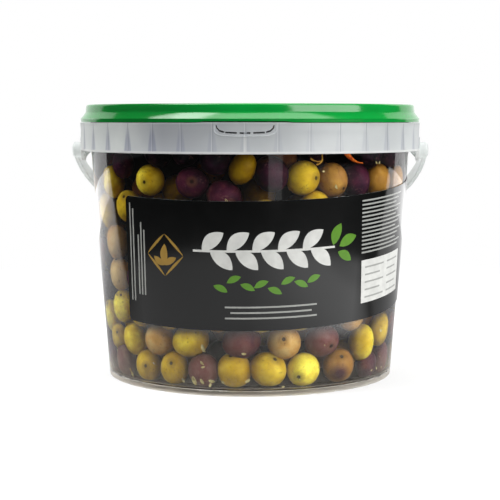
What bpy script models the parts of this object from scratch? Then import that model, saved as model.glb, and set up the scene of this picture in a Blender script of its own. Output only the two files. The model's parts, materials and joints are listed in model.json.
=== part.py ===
"""Clear lidded pail of mixed olives: a moulded pail with a ribbed skirt, a press-fit lid,
a wrapped label, the heap of olives inside and a bail handle that swings on two lugs.

Metres, +Z up. The origin is the middle of the foot ring, on the surface the pail stands on.
The lugs lie on the X axis, the tear tab faces -Y and the handle hangs down behind, at +Y.
"""
import math

import bmesh
import bpy
import numpy as np
from mathutils import Matrix, Vector

MM = 0.001
SIDES = 72
GAP = 0.3 * MM

# Pail: one moulding of wall, base, foot ring, flange and skirt
WALL_RADIUS_FLOOR = 83.15 * MM
WALL_SLOPE = 0.0745
WALL_THICK = 1.1 * MM
NECK_Z = 131.0 * MM
MOUTH_Z = 155.3 * MM
FOOT_HEIGHT = 2.8 * MM
FOOT_WIDTH = 1.8 * MM
BASE_THICK = 1.2 * MM
BASE_CORNER = 2.2 * MM
SKIRT_RADIUS = 99.0 * MM
SKIRT_THICK = 1.3 * MM
SKIRT_BOTTOM_Z = 130.4 * MM
FLANGE_TOP_Z = 146.6 * MM
FLANGE_THICK = 1.3 * MM
EDGE = 0.5 * MM

# Ribs between the wall and the skirt, one in front thicker than the rest
RIB_COUNT = 36
RIB_THICK = 1.0 * MM
FRONT_RIB_THICK = 1.6 * MM
RIB_BOTTOM_Z = 131.4 * MM
LUG_RIB_BOTTOM_Z = 137.5 * MM

# Tear tab: a dashed line of slots through the front of the skirt
TAB_HALF_WIDTH = 15.0 * MM
TAB_DEPTH = 5.4 * MM
SLOT_HEIGHT = 0.8 * MM
SLOT_LENGTH = 5.8 * MM
SLOT_PITCH = 7.4 * MM
END_SLOT_LENGTH = 4.6 * MM
END_SLOT_TILT = math.radians(62)

# Lugs that hang from the skirt and carry the handle's pins
HINGE_Z = 130.7 * MM
LUG_RADIUS = 6.4 * MM
LUG_INNER_X = 97.3 * MM
LUG_OUTER_X = 99.1 * MM
LUG_TOP_Z = 138.0 * MM
LUG_HOLE_RADIUS = 3.1 * MM

# Lid: a channel that sits over the mouth, and a sunken panel
LID_TOP_Z = 156.8 * MM
LID_BOTTOM_Z = FLANGE_TOP_Z + GAP
LID_THICK = 1.2 * MM
LID_RIM_RADIUS = 95.6 * MM
LID_SKIRT_RADIUS = 98.7 * MM
LID_STEP_Z = 152.3 * MM
LID_PANEL_RADIUS = 89.7 * MM
LID_PANEL_SINK = 5.0 * MM

# Handle: a flat strap on an oval path, with a boss, a pin and a cone at each end
STRAP_HALF_SPAN = 101.2 * MM
STRAP_REACH = 107.0 * MM
STRAP_THICK = 2.6 * MM
STRAP_WIDTH = 7.4 * MM
STRAP_POINTS = 32
REST_DROP = math.radians(32.0)
BOSS_RADIUS = 4.5 * MM
BOSS_INNER_X = 99.45 * MM
BOSS_OUTER_X = 104.5 * MM
PIN_RADIUS = 2.7 * MM
CONE_BASE_X = 97.0 * MM
CONE_TIP_X = 93.9 * MM
CONE_RADIUS = 4.1 * MM
CONE_TIP_RADIUS = 1.2 * MM
BOSS_SIDES = 12

# Label: a straight strip wrapped round the cone of the wall
LABEL_HEIGHT = 69.7 * MM
LABEL_MID_Z = 70.9 * MM
LABEL_LOWEST_ANGLE = math.radians(-7.0)
LABEL_START_ANGLE = math.radians(-47.5)
LABEL_END_ANGLE = math.radians(104.0)
LABEL_THICK = 0.3 * MM
LABEL_COLUMNS = 31
LABEL_ROWS = 3

# Olives: the heap inside, from the base to just below the flange
HEAP_TOP_Z = 141.0 * MM
CORE_DEPTH = 8.0 * MM
CORE_TOP_DROP = 8.0 * MM
CORE_SIDES = 20
OLIVE_SEED = 11
OLIVE_SIZES = (15.5 * MM, 19.5 * MM)
OLIVE_LENGTHENING = (1.0, 1.16)
ROW_COUNT = 8
ROW_PITCH = 16.4 * MM
OLIVE_PITCH = 19.2 * MM
SETTLE_STEPS = 80
OLIVE_SEGMENTS = 6
OLIVE_RINGS = 4

# The olives that show best from the front: angle from the front in degrees, then height
# of the middle, width and length in millimetres
FRONT_OLIVES = (
    (-61, 114, 16, 19), (-52, 124, 15, 16), (-38, 116, 17, 17), (-20, 115, 18, 17),
    (-10, 127, 17, 17), (-8, 108, 19, 17), (-1, 123, 14, 18), (9, 120, 18, 20),
    (21, 117, 18, 19), (34, 116, 17, 19), (45, 116, 16, 18), (50, 130, 18, 18),
    (58, 115, 17, 17), (-51, 101, 17, 18), (-68, 97, 17, 22), (-62, 80, 17, 20),
    (-61, 62, 17, 19), (-74, 36, 17, 19), (-65, 24, 15, 15), (-53, 26, 16, 18),
    (-38, 28, 17, 18), (-23, 28, 21, 18), (-2, 28, 21, 19), (15, 28, 18, 19), (32, 28, 20, 18),
    (46, 41, 17, 18), (55, 22, 16, 21), (68, 29, 16, 20), (-62, 11, 15, 18), (-45, 11, 15, 17),
    (-31, 12, 16, 18), (-17, 12, 17, 18), (-5, 12, 17, 19), (9, 12, 20, 18), (24, 11, 18, 18),
    (41, 12, 19, 18), (57, 9, 15, 15), (70, 12, 16, 18), (-47, 45, 16, 17), (-31, 45, 16, 17),
    (-10, 46, 17, 17), (6, 45, 17, 17), (22, 46, 17, 17), (26, 103, 17, 17),
)


def new_material(name, colour, roughness):
    """A plain plastic, paper or food surface."""
    material = bpy.data.materials.new(name)
    material.use_nodes = True
    shader = material.node_tree.nodes["Principled BSDF"]
    shader.inputs["Base Color"].default_value = (*colour, 1.0)
    shader.inputs["Roughness"].default_value = roughness
    shader.inputs["Metallic"].default_value = 0.0
    return material


def add_object(name, mesh, collection, material=None):
    """Put a mesh in the scene as an object of its own."""
    piece = bpy.data.objects.new(name, mesh)
    collection.objects.link(piece)
    if material:
        mesh.materials.append(material)
    return piece


def add_cutter(name, mesh, collection):
    """Put a helper in the scene: it shapes other pieces and is not part of the object."""
    cutter = add_object(name, mesh, collection)
    cutter.hide_render = True
    cutter.display_type = "WIRE"
    return cutter


def boolean(target, operation, cutter):
    """Cut or join the target with one helper."""
    change = target.modifiers.new(f"{operation}_{cutter.name}".lower(), "BOOLEAN")
    change.operation = operation
    change.solver = "EXACT"
    change.object = cutter


def finished_mesh(piece, name):
    """The mesh of an object with its modifiers or its curve worked out, and loose caps welded."""
    evaluated = piece.evaluated_get(bpy.context.evaluated_depsgraph_get())
    mesh = bpy.data.meshes.new_from_object(evaluated)
    mesh.name = name
    shape = bmesh.new()
    shape.from_mesh(mesh)
    bmesh.ops.remove_doubles(shape, verts=shape.verts, dist=0.01 * MM)
    shape.to_mesh(mesh)
    shape.free()
    return mesh


def shade_round(mesh, angle=40):
    """Smooth shading on the round surfaces, sharp at the edges."""
    mesh.shade_smooth()
    mesh.set_sharp_from_angle(angle=math.radians(angle))


def turned(name, outline, collection, material=None, sides=SIDES):
    """A body turned round Z from an outline of radius and height that runs down its outer side."""
    mesh = bpy.data.meshes.new(name)
    points = [(radius, 0.0, height) for radius, height in outline]
    edges = [(i, i + 1) for i in range(len(points) - 1)]
    mesh.from_pydata(points, edges, [])
    piece = add_object(name, mesh, collection, material)
    screw = piece.modifiers.new("turn", "SCREW")
    screw.axis = "Z"
    screw.angle = math.tau
    screw.steps = sides
    screw.render_steps = sides
    screw.use_merge_vertices = True
    screw.merge_threshold = 0.00005
    screw.use_smooth_shade = True
    return piece


def box_into(shape, size, matrix):
    """Add one box to a bmesh."""
    bmesh.ops.create_cube(shape, size=1.0, matrix=matrix @ Matrix.Diagonal((*size, 1.0)))


def at_angle(angle, radius, height):
    """A frame on the round wall: X across it, -Y outwards, angle counted from the front to +X."""
    return Matrix.Rotation(angle, 4, "Z") @ Matrix.Translation((0.0, -radius, height))


def wall_outer(height):
    """Outer radius of the pail's wall: a cone up to the neck, then straight."""
    return WALL_RADIUS_FLOOR + WALL_SLOPE * min(height, NECK_Z)


def wall_inner(height):
    """Inner radius of the pail's wall."""
    return wall_outer(height) - WALL_THICK


def make_pail(parts, cutters, material):
    """Wall, base, foot ring, flange and skirt, with the ribs, the lugs and the tear tab."""
    base_top = FOOT_HEIGHT + BASE_THICK
    skirt_inner = SKIRT_RADIUS - SKIRT_THICK
    flange_bottom = FLANGE_TOP_Z - FLANGE_THICK
    corner_top = base_top + BASE_CORNER
    outline = [
        (0.0, base_top),
        (wall_inner(corner_top) - BASE_CORNER, base_top),
        (wall_inner(corner_top), corner_top),
        (wall_inner(NECK_Z), NECK_Z),
        (wall_inner(NECK_Z), MOUTH_Z),
        (wall_outer(NECK_Z), MOUTH_Z),
        (wall_outer(NECK_Z), FLANGE_TOP_Z),
        (SKIRT_RADIUS - EDGE, FLANGE_TOP_Z),
        (SKIRT_RADIUS, FLANGE_TOP_Z - EDGE),
        (SKIRT_RADIUS, SKIRT_BOTTOM_Z),
        (skirt_inner, SKIRT_BOTTOM_Z),
        (skirt_inner, flange_bottom),
        (wall_outer(NECK_Z), flange_bottom),
        (wall_outer(NECK_Z), NECK_Z),
        (WALL_RADIUS_FLOOR, 0.0),
        (WALL_RADIUS_FLOOR - FOOT_WIDTH, 0.0),
        (WALL_RADIUS_FLOOR - FOOT_WIDTH, FOOT_HEIGHT),
        (0.0, FOOT_HEIGHT),
    ]
    pail = turned("pail", outline, parts, material)
    boolean(pail, "UNION", make_ribs(cutters, flange_bottom))
    for name, side in (("right", 1), ("left", -1)):
        boolean(pail, "UNION", make_lug(name, side, cutters))
    boolean(pail, "DIFFERENCE", make_pin_holes(cutters))
    boolean(pail, "DIFFERENCE", make_tab_slots(cutters))
    return pail


def make_ribs(cutters, flange_bottom):
    """Upright plates that tie the skirt to the wall, shorter above the two lugs."""
    inner = wall_outer(NECK_Z) - WALL_THICK / 2
    outer = SKIRT_RADIUS - SKIRT_THICK / 2
    top = flange_bottom + FLANGE_THICK / 2
    shape = bmesh.new()
    for number in range(RIB_COUNT):
        bottom = LUG_RIB_BOTTOM_Z if number in (RIB_COUNT // 4, 3 * RIB_COUNT // 4) else RIB_BOTTOM_Z
        thick = RIB_THICK if number else FRONT_RIB_THICK
        place = at_angle(math.tau * number / RIB_COUNT, (inner + outer) / 2, (top + bottom) / 2)
        box_into(shape, (thick, outer - inner, top - bottom), place)
    mesh = bpy.data.meshes.new("ribs")
    shape.to_mesh(mesh)
    shape.free()
    return add_cutter("ribs", mesh, cutters)


def make_lug(name, side, cutters):
    """A flat ear with a round lower end, flush with the skirt."""
    outline = [(LUG_RADIUS, LUG_TOP_Z - HINGE_Z)]
    for step in range(13):
        angle = math.pi * step / 12
        outline.append((LUG_RADIUS * math.cos(angle), -LUG_RADIUS * math.sin(angle)))
    outline.append((-LUG_RADIUS, LUG_TOP_Z - HINGE_Z))
    thick = LUG_OUTER_X - LUG_INNER_X
    middle = side * (LUG_INNER_X + LUG_OUTER_X) / 2
    upright = Matrix.Rotation(math.pi / 2, 4, "Z") @ Matrix.Rotation(math.pi / 2, 4, "X")
    mesh = flat_outline(f"lug_{name}", outline, thick)
    mesh.transform(Matrix.Translation((middle, 0.0, HINGE_Z)) @ upright)
    return add_cutter(f"lug_{name}", mesh, cutters)


def flat_outline(name, outline, thick):
    """A plate cut to an outline in its own XY plane, half its thickness to each side."""
    curve = bpy.data.curves.new(name, "CURVE")
    curve.dimensions = "2D"
    curve.fill_mode = "BOTH"
    curve.extrude = thick / 2
    spline = curve.splines.new("POLY")
    spline.points.add(len(outline) - 1)
    for point, (across, along) in zip(spline.points, outline):
        point.co = (across, along, 0.0, 1.0)
    spline.use_cyclic_u = True
    holder = bpy.data.objects.new(name, curve)
    bpy.context.scene.collection.objects.link(holder)
    mesh = finished_mesh(holder, name)
    bpy.data.objects.remove(holder)
    return mesh


def make_pin_holes(cutters):
    """Two round holes through the lugs, on the handle's axis."""
    shape = bmesh.new()
    depth = 3.0 * (LUG_OUTER_X - LUG_INNER_X)
    for side in (1, -1):
        place = Matrix.Translation((side * (LUG_INNER_X + LUG_OUTER_X) / 2, 0.0, HINGE_Z))
        turn = Matrix.Rotation(math.pi / 2, 4, "Y")
        bmesh.ops.create_cone(shape, cap_ends=True, segments=BOSS_SIDES, radius1=LUG_HOLE_RADIUS,
                              radius2=LUG_HOLE_RADIUS, depth=depth, matrix=place @ turn)
    mesh = bpy.data.meshes.new("pin_holes")
    shape.to_mesh(mesh)
    shape.free()
    return add_cutter("pin_holes", mesh, cutters)


def make_tab_slots(cutters):
    """The dashed line round the tear tab: three slots below it and a leaning one at each end."""
    shape = bmesh.new()
    low_z = FLANGE_TOP_Z - TAB_DEPTH
    size = (SLOT_LENGTH, 4.0 * SKIRT_THICK, SLOT_HEIGHT)
    radius = SKIRT_RADIUS - SKIRT_THICK / 2
    for step in (-1, 0, 1):
        box_into(shape, size, at_angle(step * SLOT_PITCH / radius, radius, low_z))
    end_size = (END_SLOT_LENGTH, 4.0 * SKIRT_THICK, SLOT_HEIGHT)
    end_z = low_z + END_SLOT_LENGTH / 2 * math.sin(END_SLOT_TILT) + SLOT_HEIGHT / 2
    for side in (1, -1):
        lean = Matrix.Rotation(-side * END_SLOT_TILT, 4, "Y")
        box_into(shape, end_size, at_angle(side * TAB_HALF_WIDTH / radius, radius, end_z) @ lean)
    mesh = bpy.data.meshes.new("tab_slots")
    shape.to_mesh(mesh)
    shape.free()
    return add_cutter("tab_slots", mesh, cutters)


def make_lid(parts, material):
    """A thin shell: sunken panel, rim over the mouth, and a skirt that flares to the flange."""
    panel_top = LID_TOP_Z - LID_PANEL_SINK
    channel_inner = wall_inner(NECK_Z) - GAP
    flare_z = (LID_BOTTOM_Z + LID_STEP_Z) / 2 + EDGE
    flare_radius = (LID_RIM_RADIUS + LID_SKIRT_RADIUS) / 2
    outline = [
        (0.0, panel_top),
        (LID_PANEL_RADIUS, panel_top),
        (LID_PANEL_RADIUS + 2 * EDGE, LID_TOP_Z),
        (LID_RIM_RADIUS - 2 * EDGE, LID_TOP_Z),
        (LID_RIM_RADIUS, LID_TOP_Z - 2 * EDGE),
        (LID_RIM_RADIUS + EDGE, LID_STEP_Z),
        (flare_radius + EDGE, flare_z),
        (LID_SKIRT_RADIUS, LID_BOTTOM_Z + 2 * EDGE),
        (LID_SKIRT_RADIUS, LID_BOTTOM_Z),
        (LID_SKIRT_RADIUS - LID_THICK, LID_BOTTOM_Z),
        (LID_RIM_RADIUS + EDGE - LID_THICK, LID_STEP_Z),
        (LID_RIM_RADIUS - LID_THICK, MOUTH_Z + GAP),
        (channel_inner, MOUTH_Z + GAP),
        (channel_inner, panel_top - LID_THICK),
        (0.0, panel_top - LID_THICK),
    ]
    return turned("lid", outline, parts, material)


def strip_point(along, up, radius_offset):
    """A point of the flat label, wrapped without stretch on the cone of the wall."""
    cone = math.atan(WALL_SLOPE)
    apex_z = -WALL_RADIUS_FLOOR / WALL_SLOPE
    slant = (LABEL_MID_Z - apex_z) / math.cos(cone)
    reach = math.hypot(along, slant + up)
    angle = LABEL_LOWEST_ANGLE + math.atan2(along, slant + up) / math.sin(cone)
    height = apex_z + reach * math.cos(cone)
    radius = wall_outer(height) + radius_offset
    return Vector((radius * math.sin(angle), -radius * math.cos(angle), height))


def make_label(parts, material):
    """The label's strip as a thin shell just off the wall."""
    radius = wall_outer(LABEL_MID_Z)
    start = (LABEL_START_ANGLE - LABEL_LOWEST_ANGLE) * radius
    length = (LABEL_END_ANGLE - LABEL_START_ANGLE) * radius
    shape = bmesh.new()
    bmesh.ops.create_grid(shape, x_segments=LABEL_COLUMNS, y_segments=LABEL_ROWS, size=0.5)
    for vert in shape.verts:
        along = start + (vert.co.x + 0.5) * length
        vert.co = strip_point(along, vert.co.y * LABEL_HEIGHT, GAP)
    mesh = bpy.data.meshes.new("label")
    shape.to_mesh(mesh)
    shape.free()
    shade_round(mesh)
    label = add_object("label", mesh, parts, material)
    shell = label.modifiers.new("paper", "SOLIDIFY")
    shell.thickness = LABEL_THICK
    shell.offset = 1.0
    return label


def olive_places():
    """Middle, width and length of each olive that lies against the wall.

    The front ones are set where they show. The rest are laid in staggered rows, and all of
    them are then settled: pairs that overlap push apart, and the wall and base hold them in.
    """
    draw = np.random.RandomState(OLIVE_SEED)
    front = [(math.radians(angle), height * MM, width * MM, length * MM)
             for angle, height, width, length in FRONT_OLIVES]
    laid = list(front)
    for row in range(ROW_COUNT):
        height = OLIVE_SIZES[1] / 2 + FOOT_HEIGHT + row * ROW_PITCH
        radius = wall_inner(height) - OLIVE_SIZES[1] / 2
        count = int(math.tau * radius / OLIVE_PITCH)
        for number in range(count):
            angle = math.tau * (number + 0.5 * (row % 2)) / count
            angle = (angle + math.pi) % math.tau - math.pi
            width = draw.uniform(*OLIVE_SIZES)
            length = width * draw.uniform(*OLIVE_LENGTHENING)
            shift = draw.uniform(-0.15, 0.15)
            spot = (angle, height + shift * OLIVE_PITCH, width, length)
            if all(olives_apart(spot, other) for other in front):
                laid.append(spot)
    return settle(laid, len(front))


def olives_apart(one, other):
    """True where two olives leave each other most of their room."""
    across = abs((one[0] - other[0] + math.pi) % math.tau - math.pi) * wall_inner(one[1])
    return math.hypot(across, one[1] - other[1]) > 0.38 * (one[2] + other[2])


def settle(laid, front_count):
    """Push overlapping olives apart against the wall, with the front ones drawn to their places."""
    half = np.array([(width + length) / 4 for _, _, width, length in laid])
    tall = np.array([max(width, length) / 2 for _, _, width, length in laid])
    angles = np.array([spot[0] for spot in laid])
    heights = np.array([spot[1] for spot in laid])
    floor = FOOT_HEIGHT + BASE_THICK + GAP + tall
    wanted = None
    for _ in range(SETTLE_STEPS):
        heights = np.clip(heights, floor, HEAP_TOP_Z - tall)
        radii = WALL_RADIUS_FLOOR + WALL_SLOPE * np.minimum(heights, NECK_Z) - WALL_THICK - GAP - half
        spots = np.stack([radii * np.sin(angles), -radii * np.cos(angles), heights], axis=1)
        if wanted is None:
            wanted = spots[:front_count].copy()
        apart = spots[:, None] - spots[None]
        distance = np.linalg.norm(apart, axis=2) + np.eye(len(laid))
        overlap = np.maximum(half[:, None] + half[None] - distance, 0.0) * (1 - np.eye(len(laid)))
        spots += 0.4 * (apart * (overlap / distance)[..., None]).sum(axis=1)
        spots[:front_count] += 0.35 * (wanted - spots[:front_count])
        angles = np.arctan2(spots[:, 0], -spots[:, 1])
        heights = spots[:, 2]
    heights = np.clip(heights, floor, HEAP_TOP_Z - tall)
    return [(angles[i], heights[i], laid[i][2], laid[i][3]) for i in range(len(laid))]


def behind_label(angle, height, reach):
    """True where the label hides an olive altogether."""
    low = LABEL_MID_Z - LABEL_HEIGHT / 2 + reach
    high = LABEL_MID_Z + LABEL_HEIGHT / 2 - reach
    turn = reach / wall_inner(height)
    return low < height < high and LABEL_START_ANGLE + turn < angle < LABEL_END_ANGLE - turn


def largest_body(mesh):
    """Keep the outer skin of a joined heap: sealed hollows are filled and loose scraps dropped."""
    shape = bmesh.new()
    shape.from_mesh(mesh)
    bmesh.ops.remove_doubles(shape, verts=shape.verts, dist=0.01 * MM)
    left = set(shape.faces)
    skins = []
    while left:
        skin = [left.pop()]
        for face in skin:
            near = {other for edge in face.edges for other in edge.link_faces} & left
            left -= near
            skin.extend(near)
        skins.append(skin)
    skins.sort(key=len)
    for skin in skins[:-1]:
        bmesh.ops.delete(shape, geom=skin, context="FACES")
    shape.to_mesh(mesh)
    shape.free()


def make_olives(parts, material):
    """The heap: a core with every olive that shows at the wall joined to it."""
    bottom = FOOT_HEIGHT + BASE_THICK + 2 * GAP
    top = HEAP_TOP_Z - CORE_TOP_DROP
    outline = [
        (0.0, top),
        (wall_inner(top) - CORE_DEPTH, top),
        (wall_inner(bottom) - CORE_DEPTH, bottom),
        (0.0, bottom),
    ]
    core = turned("olives", outline, parts, sides=CORE_SIDES)
    core_mesh = finished_mesh(core, "olives")
    bpy.data.objects.remove(core)
    core = add_object("olives", core_mesh, parts)

    heap = bpy.data.collections.new("heap")
    bpy.context.scene.collection.children.link(heap)
    draw = np.random.RandomState(OLIVE_SEED + 1)
    for angle, height, width, length in olive_places():
        lean = draw.uniform(-0.5, 0.5)
        if behind_label(angle, height, length / 2):
            continue
        half = (width + length) / 4
        radius = wall_inner(height) - GAP - half
        place = at_angle(angle, radius, height) @ Matrix.Rotation(lean, 4, "Y")
        shape = bmesh.new()
        bmesh.ops.create_uvsphere(shape, u_segments=OLIVE_SEGMENTS, v_segments=OLIVE_RINGS,
                                  radius=1.0, matrix=place @ Matrix.Diagonal(
                                      (width / 2, half, length / 2, 1.0)))
        mesh = bpy.data.meshes.new("olive")
        shape.to_mesh(mesh)
        shape.free()
        add_object("olive", mesh, heap)

    join = core.modifiers.new("join", "BOOLEAN")
    join.operation = "UNION"
    join.operand_type = "COLLECTION"
    join.collection = heap
    join.solver = "MANIFOLD"
    mesh = finished_mesh(core, "olives")
    bpy.data.objects.remove(core)
    for olive in list(heap.objects):
        bpy.data.objects.remove(olive)
    bpy.data.collections.remove(heap)
    largest_body(mesh)
    mesh.materials.clear()
    shade_round(mesh, 60)
    return add_object("olives", mesh, parts, material)


def make_handle(parts, cutters, material):
    """The strap on its oval path, with the bosses, pins and snap cones on the hinge axis."""
    outline = []
    for half_span, reach, steps in (
        (STRAP_HALF_SPAN + STRAP_THICK, STRAP_REACH + STRAP_THICK, range(STRAP_POINTS + 1)),
        (STRAP_HALF_SPAN, STRAP_REACH, range(STRAP_POINTS, -1, -1)),
    ):
        for step in steps:
            angle = math.pi * step / STRAP_POINTS
            outline.append((half_span * math.cos(angle), reach * math.sin(angle)))
    mesh = flat_outline("handle", outline, STRAP_WIDTH)
    handle = add_object("handle", mesh, parts, material)
    handle.location = (0.0, 0.0, HINGE_Z)
    handle.rotation_euler = (-REST_DROP, 0.0, 0.0)

    pin_outline = [
        (0.0, BOSS_OUTER_X),
        (BOSS_RADIUS * 0.6, BOSS_OUTER_X - 0.4 * MM),
        (BOSS_RADIUS, BOSS_OUTER_X - 2.0 * MM),
        (BOSS_RADIUS, BOSS_INNER_X),
        (PIN_RADIUS, BOSS_INNER_X),
        (PIN_RADIUS, CONE_BASE_X),
        (CONE_RADIUS, CONE_BASE_X),
        (CONE_TIP_RADIUS, CONE_TIP_X),
        (0.0, CONE_TIP_X),
    ]
    for name, side in (("right", 1), ("left", -1)):
        pin = turned(f"pin_{name}", pin_outline, cutters, sides=BOSS_SIDES)
        pin.hide_render = True
        pin.display_type = "WIRE"
        pin.location = handle.location
        pin.rotation_euler = (0.0, side * math.pi / 2, 0.0)
        boolean(handle, "UNION", pin)
    return handle


def main():
    """Clear the scene and build the five pieces."""
    for old in list(bpy.data.objects):
        bpy.data.objects.remove(old)
    parts = bpy.data.collections.new("olive_pail")
    cutters = bpy.data.collections.new("cutters")
    for collection in (parts, cutters):
        bpy.context.scene.collection.children.link(collection)
    clear_plastic = new_material("clear_plastic", (0.80, 0.81, 0.80), 0.15)
    green_plastic = new_material("green_plastic", (0.0, 0.36, 0.08), 0.25)
    black_paper = new_material("black_paper", (0.015, 0.016, 0.016), 0.3)
    olive_skin = new_material("olive_skin", (0.30, 0.24, 0.05), 0.4)
    milky_plastic = new_material("milky_plastic", (0.78, 0.80, 0.78), 0.35)
    make_pail(parts, cutters, clear_plastic)
    make_lid(parts, green_plastic)
    make_label(parts, black_paper)
    make_olives(parts, olive_skin)
    make_handle(parts, cutters, milky_plastic)


main()
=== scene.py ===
# %% [markdown]
# # A clear pail of mixed olives
#
# The object is a round pail of clear plastic with a milky, ribbed skirt, a green lid that snaps over
# its mouth, a dark printed label and a bail handle. It is full of green, tan and purple olives in
# brine. This lesson dresses the solid model of that pail: every part that shows is modelled again
# with smooth curves and given its finish, in the place that the solid model holds.

# %% Load the solid model
import json
import math

import bmesh
import bpy
import numpy as np
from mathutils import Matrix, Vector


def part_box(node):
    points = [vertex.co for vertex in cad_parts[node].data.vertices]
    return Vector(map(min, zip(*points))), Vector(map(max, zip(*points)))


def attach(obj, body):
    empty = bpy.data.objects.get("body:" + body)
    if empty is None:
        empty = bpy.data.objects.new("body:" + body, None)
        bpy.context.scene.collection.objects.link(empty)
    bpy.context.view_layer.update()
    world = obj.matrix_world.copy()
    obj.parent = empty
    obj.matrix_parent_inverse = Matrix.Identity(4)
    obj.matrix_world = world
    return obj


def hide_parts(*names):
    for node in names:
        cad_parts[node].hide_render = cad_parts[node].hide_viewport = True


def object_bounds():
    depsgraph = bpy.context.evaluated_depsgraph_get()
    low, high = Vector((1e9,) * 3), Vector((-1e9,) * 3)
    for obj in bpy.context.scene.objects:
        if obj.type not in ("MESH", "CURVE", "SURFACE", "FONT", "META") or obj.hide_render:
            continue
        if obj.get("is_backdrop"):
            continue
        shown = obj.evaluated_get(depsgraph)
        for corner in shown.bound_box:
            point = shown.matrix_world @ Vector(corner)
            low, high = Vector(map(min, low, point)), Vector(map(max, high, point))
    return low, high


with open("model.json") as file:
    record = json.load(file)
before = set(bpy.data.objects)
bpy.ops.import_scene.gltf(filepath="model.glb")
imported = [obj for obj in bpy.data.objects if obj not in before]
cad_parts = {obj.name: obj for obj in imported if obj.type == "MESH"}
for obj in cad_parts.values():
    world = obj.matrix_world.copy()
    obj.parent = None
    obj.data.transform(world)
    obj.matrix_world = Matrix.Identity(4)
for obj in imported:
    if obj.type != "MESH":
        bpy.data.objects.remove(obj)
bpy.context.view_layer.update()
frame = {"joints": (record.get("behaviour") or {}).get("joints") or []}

MM = 0.001
pail_low, pail_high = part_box("pail")
lid_low, lid_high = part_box("lid")
handle_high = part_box("handle")[1]
hinge_z = frame["joints"][0]["pos_m"][2]
print("pail is", [round(v / MM, 1) for v in pail_high - pail_low], "mm, hinge at", round(hinge_z / MM, 1))

# %% [markdown]
# ## The sizes of the moulding
#
# A pail is injection moulded, so its wall is a cone: the small taper lets it slide off the mould, and
# lets empty pails stack. Two functions give the wall's radius at any height, and everything that
# touches the wall asks them. Heights and radii are in metres.

# %% Sizes that the pieces share
WALL_SLOPE = 0.0745
WALL_THICK = 1.1 * MM
GAP = 0.3 * MM
NECK_Z = 131.0 * MM
FOOT_RADIUS = 83.15 * MM
FOOT_HEIGHT = 2.8 * MM
BASE_TOP = 4.0 * MM
SKIRT_BOTTOM_Z = 130.4 * MM
FLANGE_TOP_Z = lid_low.z - GAP
SKIRT_RADIUS = pail_high.y
MOUTH_Z = pail_high.z
ROUND_SIDES = 144
CLEAR_SIDES = 288
HUB_RADIUS = 4.0 * MM
WALL_RINGS = (20, 60, 100, 131)


def wall_outer(height):
    """Outer radius of the wall: a cone up to the neck, then straight."""
    return FOOT_RADIUS + WALL_SLOPE * min(height, NECK_Z)


def wall_inner(height):
    """Inner radius of the wall."""
    return wall_outer(height) - WALL_THICK


print("wall radius", round(wall_outer(0) / MM, 2), "to", round(wall_outer(NECK_Z) / MM, 2), "mm")

# %% [markdown]
# ## The camera
#
# The photograph looks at the front of the pail from about 0.8 m, with the lens a little below the
# lid, tipped down by 5.5 degrees, so the lid's top stays out of sight while the foot ring shows as a
# shallow curve.

# %% Set the camera
CAMERA_DISTANCE = 0.8019
CAMERA_HEIGHT = 0.1485
CAMERA_TILT = math.radians(5.5)
CAMERA_TURN = math.radians(1.5)
CAMERA_LENS = 97.8
SENSOR_WIDTH = 36.0

camera_data = bpy.data.cameras.new("camera")
camera_data.lens = CAMERA_LENS
camera_data.sensor_width = SENSOR_WIDTH
camera = bpy.data.objects.new("camera", camera_data)
bpy.context.scene.collection.objects.link(camera)
camera.location = (
    CAMERA_DISTANCE * math.sin(CAMERA_TURN),
    -CAMERA_DISTANCE * math.cos(CAMERA_TURN),
    CAMERA_HEIGHT,
)
camera.rotation_euler = (math.pi / 2 - CAMERA_TILT, 0.0, CAMERA_TURN)
bpy.context.scene.camera = camera
print("camera", CAMERA_DISTANCE, "m away,", CAMERA_LENS, "mm lens")

# %% [markdown]
# ## Tools for turned pieces
#
# Pail, lid, brine and core are all round, so one tool makes them: it draws one ring, then extrudes
# and resizes it from point to point of an outline, as one would by hand in edit mode.


# %% Tools for turned pieces
WELD = 0.001 * MM
HUB_INSET = 0.02


def deselect():
    """Leave edit mode and select nothing."""
    if bpy.context.object and bpy.context.object.mode != "OBJECT":
        bpy.ops.object.mode_set(mode="OBJECT")
    bpy.ops.object.select_all(action="DESELECT")


def select_only(piece):
    """Make one piece the only selected and active one."""
    deselect()
    piece.select_set(True)
    bpy.context.view_layer.objects.active = piece


def name_it(name):
    """Name the active object and its mesh, and put its place into the mesh."""
    piece = bpy.context.object
    piece.name = name
    piece.data.name = name
    select_only(piece)
    bpy.ops.object.transform_apply(location=True, rotation=True, scale=True)
    return piece


def smooth(piece, angle=35):
    """Smooth shading, with edges sharper than the angle left crisp."""
    select_only(piece)
    bpy.ops.object.shade_smooth_by_angle(angle=math.radians(angle))


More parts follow.
